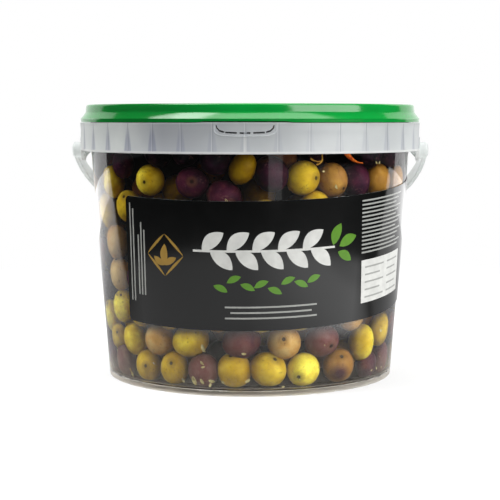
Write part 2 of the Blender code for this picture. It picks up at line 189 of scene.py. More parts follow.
def turn(name, outline, sides=ROUND_SIDES, ring=False, sharp=35):
    """Turn an outline of (radius, height) round Z. A ring joins its last point to its first."""
    deselect()
    radius, height = outline[0]
    bpy.ops.mesh.primitive_circle_add(vertices=sides, radius=radius, location=(0, 0, height),
                                      fill_type="NOTHING" if ring else "NGON")
    piece = name_it(name)
    bpy.ops.object.mode_set(mode="EDIT")
    bpy.ops.mesh.select_all(action="SELECT")
    if not ring:
        bpy.ops.mesh.inset(thickness=radius * HUB_INSET)
        bpy.ops.mesh.select_all(action="DESELECT")
        bpy.ops.mesh.select_non_manifold()
    for new_radius, new_height in outline[1:] + (outline[:1] if ring else []):
        ratio = new_radius / radius
        bpy.ops.mesh.extrude_edges_move()
        bpy.ops.transform.resize(value=(ratio, ratio, 1.0), center_override=(0, 0, 0))
        bpy.ops.transform.translate(value=(0, 0, new_height - height))
        radius, height = new_radius, new_height
    if not ring:
        bpy.ops.mesh.edge_face_add()
    bpy.ops.mesh.select_all(action="SELECT")
    bpy.ops.mesh.remove_doubles(threshold=WELD)
    bpy.ops.mesh.normals_make_consistent(inside=False)
    bpy.ops.object.mode_set(mode="OBJECT")
    smooth(piece, sharp)
    return piece


def arc(radius, height, size, start, end, steps=4):
    """Points of a round corner: its middle, its size, and the angles it runs between, in degrees."""
    points = []
    for step in range(steps + 1):
        angle = math.radians(start + (end - start) * step / steps)
        points.append((radius + size * math.cos(angle), height + size * math.sin(angle)))
    return points


def angle_at(point):
    """Angle of a point round the pail, in degrees from the front, towards +X."""
    return math.degrees(math.atan2(point.x, -point.y))


def at_angle(angle, radius, height):
    """A frame on the round wall: X across it, -Y outwards. The angle is in degrees from the front."""
    return Matrix.Rotation(math.radians(angle), 4, "Z") @ Matrix.Translation((0, -radius, height))


# %% [markdown]
# ## Floor and light
#
# A product photograph like this one is lit by large soft boxes, because a round glossy thing mirrors
# everything round it: each box shows as an upright band of light on the lid and the wall. The floor is
# a pale disc. Each row of the table below is one box: its name, its direction in degrees from the
# front, its distance, height, width and tallness in metres, and its power. The box far to the left is
# left out of mirrors, because the photograph shows no band of light there.

# %% Set the floor and the lights
FLOOR_RADIUS = 1.6
AIM_HEIGHT = 0.08
FLOOR_SIDES = 128
SOFT_BOXES = [
    ("box_above", 170, 0.15, 1.25, 1.3, 1.3, 18.0), ("box_right", 54, 1.1, 0.46, 1.05, 0.8, 13.5),
    ("box_left", -74, 0.54, 1.2, 0.8, 0.3, 4.6), ("box_far_left", -70, 1.2, 0.8, 0.5, 0.6, 8.8),
    ("panel_left", -147, 0.75, 0.3, 0.9, 0.7, 1.9), ("panel_right", 150, 0.75, 0.3, 0.8, 0.7, 1.8),
    ("strip_front", 18, 0.62, 0.1, 0.10, 0.2, 0.021),
]
NOT_MIRRORED = "box_far_left"

deselect()
bpy.ops.mesh.primitive_circle_add(vertices=FLOOR_SIDES, radius=FLOOR_RADIUS, fill_type="NGON")
floor = name_it("floor")
floor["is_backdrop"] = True
for name, azimuth, distance, height, width, tall, power in SOFT_BOXES:
    data = bpy.data.lights.new(name, "AREA")
    data.shape = "RECTANGLE"
    data.size = width
    data.size_y = tall
    data.energy = power
    box = bpy.data.objects.new(name, data)
    bpy.context.scene.collection.objects.link(box)
    turn_angle = math.radians(azimuth)
    box.location = (distance * math.sin(turn_angle), -distance * math.cos(turn_angle), height)
    aim = Vector((0, 0, AIM_HEIGHT)) - box.location
    box.rotation_euler = aim.to_track_quat("-Z", "Y").to_euler()
    box.visible_camera = False
    box.visible_glossy = name != NOT_MIRRORED
print("floor", FLOOR_RADIUS, "m,", len(SOFT_BOXES), "lights")

# %% [markdown]
# The photograph's background is pure white. A white world would also light the pail from every side
# and flatten it. So the world is white only where the camera sees it directly, and weak for everything
# else, and the soft boxes do the shaping.

# %% Set the world light
WORLD_FILL = 0.08

world = bpy.data.worlds.new("studio")
bpy.context.scene.world = world
world.use_nodes = True
sky, sky_links = world.node_tree.nodes, world.node_tree.links
sky.clear()
path = sky.new("ShaderNodeLightPath")
choose = sky.new("ShaderNodeMixShader")
sky_out = sky.new("ShaderNodeOutputWorld")
sky_links.new(path.outputs["Is Camera Ray"], choose.inputs["Fac"])
for number, strength in ((1, WORLD_FILL), (2, 1.0)):
    shine = sky.new("ShaderNodeBackground")
    shine.inputs["Strength"].default_value = strength
    shine.inputs["Color"].default_value = (1.0, 1.0, 1.0, 1.0)
    sky_links.new(shine.outputs["Background"], choose.inputs[number])
sky_links.new(choose.outputs["Shader"], sky_out.inputs["Surface"])
bpy.context.scene.view_settings.view_transform = "Standard"
print("world fill", WORLD_FILL)

# %% [markdown]
# ## The clear wall
#
# Wall, base and foot ring are one skin, about 1 mm thick, with its lower corner rounded inside. It
# could be a cylinder that is hollowed out and bevelled, but turning one outline puts every radius
# where it was measured. Its sides are many, because light bends in it and would show every flat.

# %% Model the wall, the base and the foot ring
NOTCH_HEIGHT = 0.2 * MM
FOOT_WIDTH = 1.8 * MM
FOOT_LEDGE = 0.35 * MM
FOOT_FILLET = 0.3 * MM
CORNER = 2.6 * MM

foot_inner = FOOT_RADIUS - FOOT_WIDTH
ledge_radius = wall_outer(FOOT_HEIGHT) - FOOT_LEDGE
wall_outline = [(HUB_RADIUS, BASE_TOP)]
wall_outline += arc(wall_inner(BASE_TOP + CORNER) - CORNER, BASE_TOP + CORNER, CORNER, -90, -4)
wall_outline += [(wall_inner(z * MM), z * MM) for z in WALL_RINGS]
wall_outline += arc(wall_outer(NECK_Z) - WALL_THICK / 2, MOUTH_Z - WALL_THICK / 2, WALL_THICK / 2, 180, 0)
wall_outline += [(wall_outer(z * MM), z * MM) for z in (*reversed(WALL_RINGS), 4.2)]
wall_outline += [
    (ledge_radius, 3.6 * MM), (ledge_radius, 3.2 * MM), (wall_outer(FOOT_HEIGHT), FOOT_HEIGHT),
    (FOOT_RADIUS, NOTCH_HEIGHT), (foot_inner, NOTCH_HEIGHT), (foot_inner, FOOT_HEIGHT - FOOT_FILLET),
    (foot_inner - FOOT_FILLET, FOOT_HEIGHT), (HUB_RADIUS, FOOT_HEIGHT),
]
wall = turn("pail_wall", wall_outline, sides=CLEAR_SIDES)
print("wall, base and foot ring:", len(wall_outline), "points turned")

# %% [markdown]
# The foot ring is notched every 10 degrees, so water can run out from under the pail. The notches
# could be cut with a Boolean, but it is simpler to lower only the faces between them.

# %% Notch the foot ring
NOTCH_SPACING = 10.0
NOTCH_WIDTH = 2.1


def between_notches(middle):
    """True for a face of the foot ring that reaches the ground."""
    return (angle_at(middle) + NOTCH_SPACING / 2) % NOTCH_SPACING > NOTCH_WIDTH


bpy.ops.object.mode_set(mode="EDIT")
bpy.ops.mesh.select_mode(type="FACE")
bpy.ops.mesh.select_all(action="DESELECT")
mesh = bmesh.from_edit_mesh(wall.data)
for face in mesh.faces:
    middle = face.calc_center_median()
    on_foot = abs(middle.z - NOTCH_HEIGHT) < 0.01 * MM and face.normal.z < -0.9
    if on_foot and middle.xy.length > foot_inner and between_notches(middle):
        face.select_set(True)
print("lowered faces of the foot ring:", sum(face.select for face in mesh.faces))
bmesh.update_edit_mesh(wall.data)
bpy.ops.mesh.extrude_region_move(TRANSFORM_OT_translate={"value": (0, 0, -NOTCH_HEIGHT)})
bpy.ops.mesh.select_mode(type="VERT")
bpy.ops.object.mode_set(mode="OBJECT")
smooth(wall)
print("wall has", len(wall.data.polygons), "faces")

# %% [markdown]
# ## The milky skirt
#
# Below the lid the moulding turns out over a flange and hangs down as a skirt. Its outer face is set
# back a little between the top edge and the bead at the bottom, and at the front its top edge is
# raised. It could be cut from a solid, but a turned ring has cleaner edges, so it is turned like the
# wall, and the ribs, the lugs and the slots are added to it or cut from it afterwards.

# %% Turn the flange and the skirt
SKIRT_THICK = 1.3 * MM
FLANGE_THICK = 1.3 * MM
ROUNDING = 0.45 * MM
SKIRT_SET_BACK = 0.25 * MM
BEAD_TOP_Z = 131.7 * MM
SET_BACK_HEIGHTS = (142.0 * MM, 132.2 * MM)
RAISED_HALF_ANGLE = 12.6
RAISED_BY = 0.25 * MM

skirt_inner = SKIRT_RADIUS - SKIRT_THICK
flange_root = wall_outer(NECK_Z) - WALL_THICK / 2
flange_bottom = FLANGE_TOP_Z - FLANGE_THICK
skirt_outline = [(flange_root, FLANGE_TOP_Z)]
skirt_outline += arc(SKIRT_RADIUS - ROUNDING, FLANGE_TOP_Z - ROUNDING, ROUNDING, 90, 0)
skirt_outline += [(SKIRT_RADIUS - SKIRT_SET_BACK, height) for height in SET_BACK_HEIGHTS]
skirt_outline += [(SKIRT_RADIUS, BEAD_TOP_Z)]
skirt_outline += arc(SKIRT_RADIUS - ROUNDING, SKIRT_BOTTOM_Z + ROUNDING, ROUNDING, 0, -90)
skirt_outline += [(skirt_inner, SKIRT_BOTTOM_Z), (skirt_inner, flange_bottom - ROUNDING),
                  (skirt_inner - ROUNDING, flange_bottom), (flange_root, flange_bottom)]
skirt = turn("pail_skirt", skirt_outline, ring=True)
for vert in skirt.data.vertices:
    if vert.co.z > FLANGE_TOP_Z - ROUNDING and abs(angle_at(vert.co)) < RAISED_HALF_ANGLE:
        vert.co.z += RAISED_BY
print("skirt reaches", round(max(v.co.z for v in skirt.data.vertices) / MM, 2), "mm")

# %% [markdown]
# Thin upright ribs behind the skirt keep it round. They could be drawn into the ring, but one plate
# copied to 36 places is easier to change. Its lower end is narrower, as on a real moulding, so that it
# leaves the mould. The two ribs above the lugs are short, and the one in front is thicker.

# %% Add the ribs
RIB_COUNT = 36
LUG_RIBS = (9, 27)
RIB_TAPER = 0.75
RIB_THICK = 0.9 * MM
FRONT_RIB_THICK = 1.6 * MM
RIB_BOTTOM_Z = 131.2 * MM
LUG_RIB_BOTTOM_Z = 137.5 * MM


def box_piece(name, size):
    """A box of the given size round the origin."""
    deselect()
    bpy.ops.mesh.primitive_cube_add(size=1.0)
    bpy.context.object.scale = size
    return name_it(name)


def join(name, pieces):
    """Join several pieces into the first one."""
    deselect()
    for piece in pieces:
        piece.select_set(True)
    bpy.context.view_layer.objects.active = pieces[0]
    bpy.ops.object.join()
    joined = bpy.context.object
    joined.name = name
    joined.data.name = name
    return joined


def rib(angle, thick, bottom):
    """One upright plate between the wall and the skirt, narrower at its lower end."""
    inner, outer = flange_root, SKIRT_RADIUS - SKIRT_THICK / 2
    top = flange_bottom + FLANGE_THICK / 2
    plate = box_piece("rib", (thick, outer - inner, top - bottom))
    for vert in plate.data.vertices:
        if vert.co.z < 0:
            vert.co.x *= RIB_TAPER
    plate.data.transform(at_angle(angle, (inner + outer) / 2, (top + bottom) / 2))
    return plate


ribs = [rib(number * 360.0 / RIB_COUNT, RIB_THICK if number else FRONT_RIB_THICK,
            LUG_RIB_BOTTOM_Z if number in LUG_RIBS else RIB_BOTTOM_Z) for number in range(RIB_COUNT)]
all_ribs = join("ribs", ribs)
print(len(ribs), "ribs, from", RIB_THICK / MM, "to", FRONT_RIB_THICK / MM, "mm thick")

# %% [markdown]
# Each lug is a flat ear with a round lower end, and the pin of the handle goes through its hole. An ear
# is a box and a round bar joined to the skirt by Booleans, and a second bar cuts the hole. Booleans
# fit here, because the ear meets a round skirt at an odd angle.

# %% Add the lugs
LUG_RADIUS = 6.4 * MM
LUG_INNER_X = 97.3 * MM
LUG_OUTER_X = 99.1 * MM
LUG_TOP_Z = 138.0 * MM
LUG_HOLE_RADIUS = 3.1 * MM
LUG_HOLE_DEPTH = 8.0 * MM
LUG_SIDES = 48


def apply_modifier(piece, modifier):
    """Make a modifier's result part of the mesh."""
    select_only(piece)
    bpy.ops.object.modifier_apply(modifier=modifier.name)


def apply_boolean(piece, cutter, operation):
    """Cut or join a piece with another, and remove the other."""
    change = piece.modifiers.new("change", "BOOLEAN")
    change.operation = operation
    change.solver = "EXACT"
    change.object = cutter
    apply_modifier(piece, change)
    bpy.data.objects.remove(cutter)


def round_bar(name, radius, length, location, sides=32):
    """A round bar along X."""
    deselect()
    bpy.ops.mesh.primitive_cylinder_add(vertices=sides, radius=radius, depth=length,
                                        location=location, rotation=(0, math.pi / 2, 0))
    return name_it(name)


apply_boolean(skirt, all_ribs, "UNION")
lug_middle_x = (LUG_INNER_X + LUG_OUTER_X) / 2
for side in (1, -1):
    ear_top = box_piece("lug_top", (LUG_OUTER_X - LUG_INNER_X, 2 * LUG_RADIUS, LUG_TOP_Z - hinge_z))
    ear_top.data.transform(Matrix.Translation((side * lug_middle_x, 0, (hinge_z + LUG_TOP_Z) / 2)))
    apply_boolean(skirt, ear_top, "UNION")
    ear = round_bar("lug", LUG_RADIUS, LUG_OUTER_X - LUG_INNER_X, (side * lug_middle_x, 0, hinge_z),
                    LUG_SIDES)
    apply_boolean(skirt, ear, "UNION")
    hole = round_bar("pin_hole", LUG_HOLE_RADIUS, LUG_HOLE_DEPTH, (side * LUG_INNER_X, 0, hinge_z))
    apply_boolean(skirt, hole, "DIFFERENCE")
print("skirt with ribs and lugs:", len(skirt.data.polygons), "faces")

# %% [markdown]
# A dashed line of slots outlines the tear tab. The slots follow a shallow curve, so each is a small
# bar, turned to the slope of the curve where it sits, and cut out with a Boolean. Three long ones make
# the bottom of the line, and three short ones climb at each end. The tables give how far out a slot
# sits, how high for the short ones, and its length, in millimetres, and then its slope in degrees.

# %% Cut the tear tab's slots
TAB_HALF_WIDTH = 14.6 * MM
TAB_LOW_Z = 141.4 * MM
TAB_BOW = 0.6 * MM
SLOT_HEIGHT = 0.85 * MM
LONG_SLOTS = ((-7.3, 6.1), (0.0, 5.6), (7.3, 6.1))
SHORT_SLOTS = ((12.2, 0.45, 2.6, 16), (13.9, 1.35, 1.9, 48), (14.9, 2.8, 2.2, 72))
SHORT_SLOT_BASE_Z = TAB_LOW_Z + TAB_BOW * 0.55


def slot_bar(across, height, length, lean):
    """One bar through the skirt, placed by its distance from the tab's middle."""
    bar = box_piece("slot", (length, 4 * SKIRT_THICK, SLOT_HEIGHT))
    angle = math.degrees(across / SKIRT_RADIUS)
    bar.data.transform(at_angle(angle, SKIRT_RADIUS, height) @ Matrix.Rotation(-lean, 4, "Y"))
    return bar


def tab_curve(across):
    """Height of the dashed line at a distance from the tab's middle."""
    return TAB_LOW_Z + TAB_BOW * (across / TAB_HALF_WIDTH) ** 2


slots = []
for reach, length in LONG_SLOTS:
    across = reach * MM
    lean = math.atan(2 * TAB_BOW * across / TAB_HALF_WIDTH ** 2)
    slots.append(slot_bar(across, tab_curve(across), length * MM, lean))
for side in (1, -1):
    for reach, height, length, lean in SHORT_SLOTS:
        slots.append(slot_bar(side * reach * MM, SHORT_SLOT_BASE_Z + height * MM, length * MM,
                              side * math.radians(lean)))
for bar in slots:
    apply_boolean(skirt, bar, "DIFFERENCE")
print(len(slots), "slots cut")

# %% [markdown]
# A fine raised line frames the dashes. It is a thin tube on a squarish half oval, a little further out
# than the slots and half sunk in the skirt. A curve with a round bevel draws such a tube directly.

# %% Add the line round the tear tab
LINE_STEPS = 24
LINE_RADIUS = 0.5 * MM
LINE_OFFSET = 1.7 * MM
LINE_RISE = 4.2 * MM
LINE_SINK = 0.35 * MM
LINE_SQUARENESS = 0.45


def new_curve(name, points, closed):
    """A curve through points, as straight runs."""
    curve = bpy.data.curves.new(name, "CURVE")
    curve.dimensions = "3D"
    spline = curve.splines.new("POLY")
    spline.points.add(len(points) - 1)
    for spot, point in zip(spline.points, points):
        spot.co = (*point, 1.0)
    spline.use_cyclic_u = closed
    holder = bpy.data.objects.new(name, curve)
    bpy.context.scene.collection.objects.link(holder)
    return holder


def to_mesh(curve):
    """Turn a curve into a mesh, and name it."""
    name = curve.name
    select_only(curve)
    bpy.ops.object.convert(target="MESH")
    return name_it(name)


line_points = []
for step in range(LINE_STEPS + 1):
    sweep = math.pi * step / LINE_STEPS
    sideways = -math.copysign(abs(math.cos(sweep)) ** LINE_SQUARENESS, math.cos(sweep))
    downwards = math.sin(sweep) ** LINE_SQUARENESS
    angle = math.degrees((TAB_HALF_WIDTH + LINE_OFFSET) * sideways / SKIRT_RADIUS)
    height = TAB_LOW_Z + LINE_RISE - (LINE_RISE + LINE_OFFSET) * downwards
    line_points.append(at_angle(angle, SKIRT_RADIUS - LINE_SINK, height).translation)
line = new_curve("tab_line", line_points, closed=False)
line.data.bevel_depth = LINE_RADIUS
line.data.bevel_resolution = 1
line.data.use_fill_caps = True
apply_boolean(skirt, to_mesh(line), "UNION")
smooth(skirt)
print("tear tab is", round(2 * TAB_HALF_WIDTH / MM, 1), "mm wide")

# %% [markdown]
# ## The lid
#
# The lid is a thin shell. Its rim is a channel that snaps over the pail's mouth, its skirt flares out
# to the flange with a soft step, and its panel is sunk so that another pail can stand in it. The
# photograph never shows the top, so the panel only gets the two low rings that such lids have. The
# whole lid is one outline, turned. Close pairs of rings keep the step crisp under smooth shading, and
# the lower edge is lifted over the skirt's raised front.

# %% Model the lid
LID_THICK = 1.2 * MM
LID_TOP_Z = lid_high.z
LID_BOTTOM_Z = lid_low.z
LID_RIM_RADIUS = 95.6 * MM
LID_SKIRT_RADIUS = lid_high.x
PANEL_RADIUS = 89.7 * MM
PANEL_Z = LID_TOP_Z - 5.0 * MM
PANEL_RINGS = (38.0 * MM, 74.0 * MM)
RING_STEPS = ((0.0, 0.0), (0.7, 0.7), (2.1, 0.7), (2.8, 0.0))
FLARE = ((0.2, 153.6), (0.3, 152.8), (0.35, 152.4), (0.8, 151.75), (1.5, 150.8), (2.2, 149.95),
         (2.85, 149.2), (3.2, 148.8))
PANEL_CORNER, RIM_INNER, RIM_OUTER = 1.2 * MM, 1.0 * MM, 1.3 * MM
NOTCH_RISE = RAISED_BY + 0.35 * MM

lid_outline = [(HUB_RADIUS, PANEL_Z)]
for ring_radius in PANEL_RINGS:
    lid_outline += [(ring_radius + out * MM, PANEL_Z + up * MM) for out, up in RING_STEPS]
lid_outline += arc(PANEL_RADIUS - PANEL_CORNER, PANEL_Z + PANEL_CORNER, PANEL_CORNER, -90, -8)
lid_outline += arc(PANEL_RADIUS + 1.1 * MM, LID_TOP_Z - RIM_INNER, RIM_INNER, 172, 90)
lid_outline += arc(LID_RIM_RADIUS - RIM_OUTER, LID_TOP_Z - RIM_OUTER, RIM_OUTER, 90, 5)
lid_outline += [(LID_RIM_RADIUS + out * MM, height * MM) for out, height in FLARE]
lid_outline += [(LID_SKIRT_RADIUS, 148.4 * MM), (LID_SKIRT_RADIUS, 148.0 * MM),
                (LID_SKIRT_RADIUS - 0.1 * MM, LID_BOTTOM_Z),
                (LID_SKIRT_RADIUS - LID_THICK, LID_BOTTOM_Z),
                (LID_SKIRT_RADIUS - LID_THICK - 1.2 * MM, 149.3 * MM),
                (LID_RIM_RADIUS - LID_THICK + 0.3 * MM, 152.0 * MM),
                (LID_RIM_RADIUS - LID_THICK, MOUTH_Z + GAP),
                (wall_inner(NECK_Z) - GAP, MOUTH_Z + GAP),
                (wall_inner(NECK_Z) - GAP, PANEL_Z - LID_THICK), (HUB_RADIUS, PANEL_Z - LID_THICK)]
lid = turn("lid_shell", lid_outline, sharp=30)
for vert in lid.data.vertices:
    low_edge = vert.co.z < LID_BOTTOM_Z + 0.1 * MM and vert.co.xy.length > LID_SKIRT_RADIUS - 2 * MM
    if low_edge and abs(angle_at(vert.co)) < RAISED_HALF_ANGLE:
        vert.co.z += NOTCH_RISE
print("lid has", len(lid.data.polygons), "faces")

# %% [markdown]
# ## The handle
#
# The handle is a flat strap on an oval path, which hangs down behind the pail. It could be bent from a
# bar, but a cross-section with raised edges swept along the path gives the edges at once, and that is
# what a curve with a bevel object does. The bosses, pins and snap cones are turned, and one Boolean
# union after another joins them to the strap.

# %% Model the handle
STRAP_HALF_SPAN = 101.2 * MM
STRAP_REACH = 107.0 * MM
STRAP_THICK = 2.6 * MM
STRAP_WIDTH = 7.4 * MM
STRAP_STEPS = 96
STRAP_EDGE = 1.3 * MM
STRAP_WEB_DROP = 0.55 * MM
STRAP_CORNER = 0.4 * MM
REST_DROP = math.radians(32.0)
BOSS_RADIUS = 4.5 * MM
BOSS_INNER_X = 99.45 * MM
BOSS_OUTER_X = handle_high.x
PIN_RADIUS = 2.7 * MM
CONE_BASE_X = 97.0 * MM
CONE_TIP_X = 93.9 * MM
CONE_RADIUS = 4.1 * MM
PIN_HUB_RADIUS = 0.4 * MM

half_thick, half_width = STRAP_THICK / 2, STRAP_WIDTH / 2
section_points = []
for side in (1, -1):
    section_points += [(side * across, side * up, 0) for across, up in (
        (half_thick - STRAP_WEB_DROP, half_width - STRAP_EDGE - STRAP_CORNER),
        (half_thick - STRAP_CORNER / 2, half_width - STRAP_EDGE),
        (half_thick, half_width - STRAP_EDGE / 2),
        (half_thick - STRAP_CORNER / 2, half_width - STRAP_CORNER / 2),
        (half_thick - STRAP_CORNER, half_width),
        (STRAP_CORNER - half_thick, half_width),
        (STRAP_CORNER / 2 - half_thick, half_width - STRAP_CORNER / 2),
        (-half_thick, half_width - STRAP_CORNER))]
section = new_curve("strap_section", section_points, closed=True)
path_points = []
for step in range(STRAP_STEPS + 1):
    angle = math.pi * step / STRAP_STEPS
    path_points.append(((STRAP_HALF_SPAN + half_thick) * math.cos(angle),
                        (STRAP_REACH + half_thick) * math.sin(angle), 0))
strap = new_curve("handle_bail", path_points, closed=False)
strap.data.bevel_mode = "OBJECT"
strap.data.bevel_object = section
strap.data.use_fill_caps = True
strap.data.twist_mode = "Z_UP"
handle = to_mesh(strap)
bpy.data.objects.remove(section)
bpy.ops.object.mode_set(mode="EDIT")
bpy.ops.mesh.select_all(action="SELECT")
bpy.ops.mesh.remove_doubles(threshold=WELD)
bpy.ops.mesh.normals_make_consistent(inside=False)
bpy.ops.object.mode_set(mode="OBJECT")
handle.data.transform(Matrix.Translation((0, 0, hinge_z)) @ Matrix.Rotation(-REST_DROP, 4, "X"))

pin_outline = [(PIN_HUB_RADIUS, BOSS_OUTER_X)]
pin_outline += arc(BOSS_RADIUS - 2.0 * MM, BOSS_OUTER_X - 2.2 * MM, 2.2 * MM, 84, 8, 6)
pin_outline += [(BOSS_RADIUS, BOSS_OUTER_X - 2.6 * MM), (BOSS_RADIUS, BOSS_INNER_X),
                (PIN_RADIUS, BOSS_INNER_X), (PIN_RADIUS, CONE_BASE_X), (CONE_RADIUS, CONE_BASE_X),
                (CONE_RADIUS, CONE_BASE_X - 0.5 * MM), (1.4 * MM, CONE_TIP_X + 0.3 * MM),
                (PIN_HUB_RADIUS, CONE_TIP_X)]
for side in (1, -1):
    pin = turn("pin", pin_outline, sides=48)
    pin.data.transform(Matrix.Translation((0, 0, hinge_z)) @ Matrix.Rotation(side * math.pi / 2, 4, "Y"))
    apply_boolean(handle, pin, "UNION")
smooth(handle)
print("handle has", len(handle.data.polygons), "faces")

# %% [markdown]
# ## The label
#
# The label is a straight strip of printed film. A straight strip wrapped round a cone rises at its
# ends, which is why its edges look curved. A Shrinkwrap modifier would stretch it, so the helper below
# rolls any flat piece onto the cone instead: X runs along the strip, Y up, and Z is the height above
# the wall.

# %% Wrap the label round the wall
LABEL_HEIGHT = 69.7 * MM
LABEL_MID_Z = 70.9 * MM
LABEL_LOWEST_ANGLE = math.radians(-7.0)
LABEL_START_ANGLE = math.radians(-47.5)
LABEL_END_ANGLE = math.radians(104.0)
LABEL_THICK = 0.3 * MM
CORNER_CUT = 0.75 * MM
FILM_CELL = 2.5 * MM
NEAR = 0.01 * MM

label_radius = wall_outer(LABEL_MID_Z)
label_start = (LABEL_START_ANGLE - LABEL_LOWEST_ANGLE) * label_radius
label_length = (LABEL_END_ANGLE - LABEL_START_ANGLE) * label_radius


def thicken(piece, thick, outwards=False, edge_slot=0):
    """Give a flat piece its thickness. Its edge faces may take another material slot."""
    film = piece.modifiers.new("film", "SOLIDIFY")
    film.thickness = thick
    film.material_offset_rim = edge_slot
    if outwards:
        film.offset = 1.0
    apply_modifier(piece, film)


def wrap(piece, lift):
    """Lay a flat piece on the cone of the wall, its lowest side lifted off the wall."""
    cone = math.atan(WALL_SLOPE)
    apex_z = -FOOT_RADIUS / WALL_SLOPE
    slant = (LABEL_MID_Z - apex_z) / math.cos(cone)
    for vert in piece.data.vertices:
        along = label_start + vert.co.x
        reach = math.hypot(along, slant + vert.co.y)
        angle = LABEL_LOWEST_ANGLE + math.atan2(along, slant + vert.co.y) / math.sin(cone)
        height = apex_z + reach * math.cos(cone)
        radius = wall_outer(height) + lift + vert.co.z
        vert.co = (radius * math.sin(angle), -radius * math.cos(angle), height)


def flat_strip(name, width, height, cell=FILM_CELL):
    """A flat rectangle in small cells, its lower left corner at the label's start."""
    columns = max(1, round(width / cell))
    rows = max(1, round(height / cell))
    deselect()
    bpy.ops.mesh.primitive_grid_add(x_subdivisions=columns, y_subdivisions=rows, size=1.0,
                                    location=(width / 2, 0, 0))
    strip = bpy.context.object
    strip.scale = (width, height, 1.0)
    return name_it(name)


label = flat_strip("label_film", label_length, LABEL_HEIGHT)
label.data.materials.append(None)
label.data.materials.append(None)
label_uv = label.data.uv_layers.active.data
for loop in label.data.loops:
    place = label.data.vertices[loop.vertex_index].co
    label_uv[loop.index].uv = (place.x / LABEL_HEIGHT, place.y / LABEL_HEIGHT + 0.5)
for vert in label.data.vertices:
    at_side = vert.co.x < NEAR or vert.co.x > label_length - NEAR
    if at_side and abs(vert.co.y) > LABEL_HEIGHT / 2 - NEAR:
        vert.co.y -= math.copysign(CORNER_CUT, vert.co.y)
        vert.co.x += CORNER_CUT if vert.co.x < LABEL_HEIGHT else -CORNER_CUT
wrap(label, GAP)
thicken(label, LABEL_THICK, outwards=True, edge_slot=1)
smooth(label)
print("label is", round(label_length / MM, 1), "x", round(LABEL_HEIGHT / MM, 1), "mm flat")

# %% [markdown]
# ## The print on the label
#
# The label carries soft shapes in white, green, gold and grey. Each ink could be a mask in the label's
# material, but as geometry it has clean edges at any distance. So each shape is a thin film of its
# own, drawn flat in millimetres from the label's lower left corner, bent round the cone by the same
# helper as the label, and lifted just clear of it.

# %% Tools for the print
PRINT_LIFT = GAP + LABEL_THICK + 0.04 * MM
PRINT_THICK = 0.06 * MM
LEAF_CELL = 1.2 * MM
LEAF_BLUNTNESS = 0.8
LEAF_BELLY = 0.12
print_pieces = {"white": [], "green": [], "gold": [], "grey": []}


def block(ink, left, low, width, height, raised=0.0):
    """A plain bar. All its sizes but the last are in millimetres."""
    bar = flat_strip("bar", width * MM, height * MM)
    for vert in bar.data.vertices:
        vert.co.x += left * MM
        vert.co.z += raised
        vert.co.y += (low + height / 2) * MM - LABEL_HEIGHT / 2
    print_pieces[ink].append(bar)
    return bar


def leaf(ink, left, low, length, width, tilt):
    """A leaf: a strip whose rows are squeezed to a point at both ends, then turned."""
    blade = flat_strip("leaf", length * MM, width * MM, cell=LEAF_CELL)
    turned_by = Matrix.Rotation(math.radians(tilt), 4, "Z")
    for vert in blade.data.vertices:
        share = vert.co.x / (length * MM)
        vert.co.y *= math.sin(math.pi * min(max(share, 0.0), 1.0)) ** LEAF_BLUNTNESS
        vert.co.y += LEAF_BELLY * width * MM * math.sin(math.pi * share)
    blade.data.transform(Matrix.Translation((left * MM, low * MM - LABEL_HEIGHT / 2, 0)) @ turned_by)
    print_pieces[ink].append(blade)
    return blade


# %% [markdown]
# The print is one branch of pale leaves across the front with green leaves at its tip, a wave of small
# green leaves under it, and a gold lozenge with a sprout in it. Plain bars stand for small print, and a
# pale panel with bars on it stands at the right. The tables give places and sizes in millimetres, and
# leaves also have a lean in degrees.

# %% Draw the print
TIP_LEAVES = ((122, 44, 12.5, 6.0, 66), (126, 43, 12.5, 6.0, 22), (125, 40, 10.5, 5.2, -32))
LOZENGE_X, LOZENGE_Y, LOZENGE_REACH = 28.0, 39.5, 11.5
LOZENGE_SIDES = ((-1, 0, 45), (-1, 0, -45), (0, 1, -45), (0, -1, 45))
SPROUT_LEAVES = ((11.5, 4.6, 90), (8.4, 3.6, 32), (8.4, 3.6, 148))
UPRIGHT_BARS = ((3.0, 12, 54), (5.4, 12, 51), (9.2, 16, 33), (11.4, 16, 40), (13.6, 16, 36))
BAR = 0.9
PANEL_LEFT = 142

for number in range(5):
    for left, lean in ((50, 40), (54.5, -40)):
        leaf("white", left + number * 13.5, 43.0, 15.5, 7.6, lean)
block("white", 45, 42.4, 78, 1.2)
for number in range(8):
    wave = 24.5 + 1.6 * math.sin(number * 1.3)
    leaf("green", 56 + number * 7.2, wave, 8.4, 3.6, 24 if number % 2 else -24)
for left, low, length, width, lean in TIP_LEAVES:
    leaf("green", left, low, length, width, lean)
for left, low, lean in LOZENGE_SIDES:
    leaf("gold", LOZENGE_X + left * LOZENGE_REACH, LOZENGE_Y + low * LOZENGE_REACH,
         LOZENGE_REACH * 1.41, 1.5, lean)
for length, width, lean in SPROUT_LEAVES:
    leaf("gold", LOZENGE_X, LOZENGE_Y - 5.5, length, width, lean)
for left, low, tall in UPRIGHT_BARS:
    block("grey", left, low, BAR, tall)
for number in range(3):
    block("grey", 62 + 3 * (number % 2), 12.4 - number * 3.0, 50 - 6 * (number % 2), BAR)
for number in range(14):
    block("grey", PANEL_LEFT, 65.5 - number * 2.2, 43 - 4 * (number % 3), BAR)
block("white", PANEL_LEFT, 9, 43, 24)
for number in range(5):
    for left, width in ((145, 18 - 4 * (number % 2)), (167, 15 - 3 * (number % 2))):
        block("grey", left, 28.5 - number * 4.2, width, BAR, raised=1.5 * PRINT_THICK)

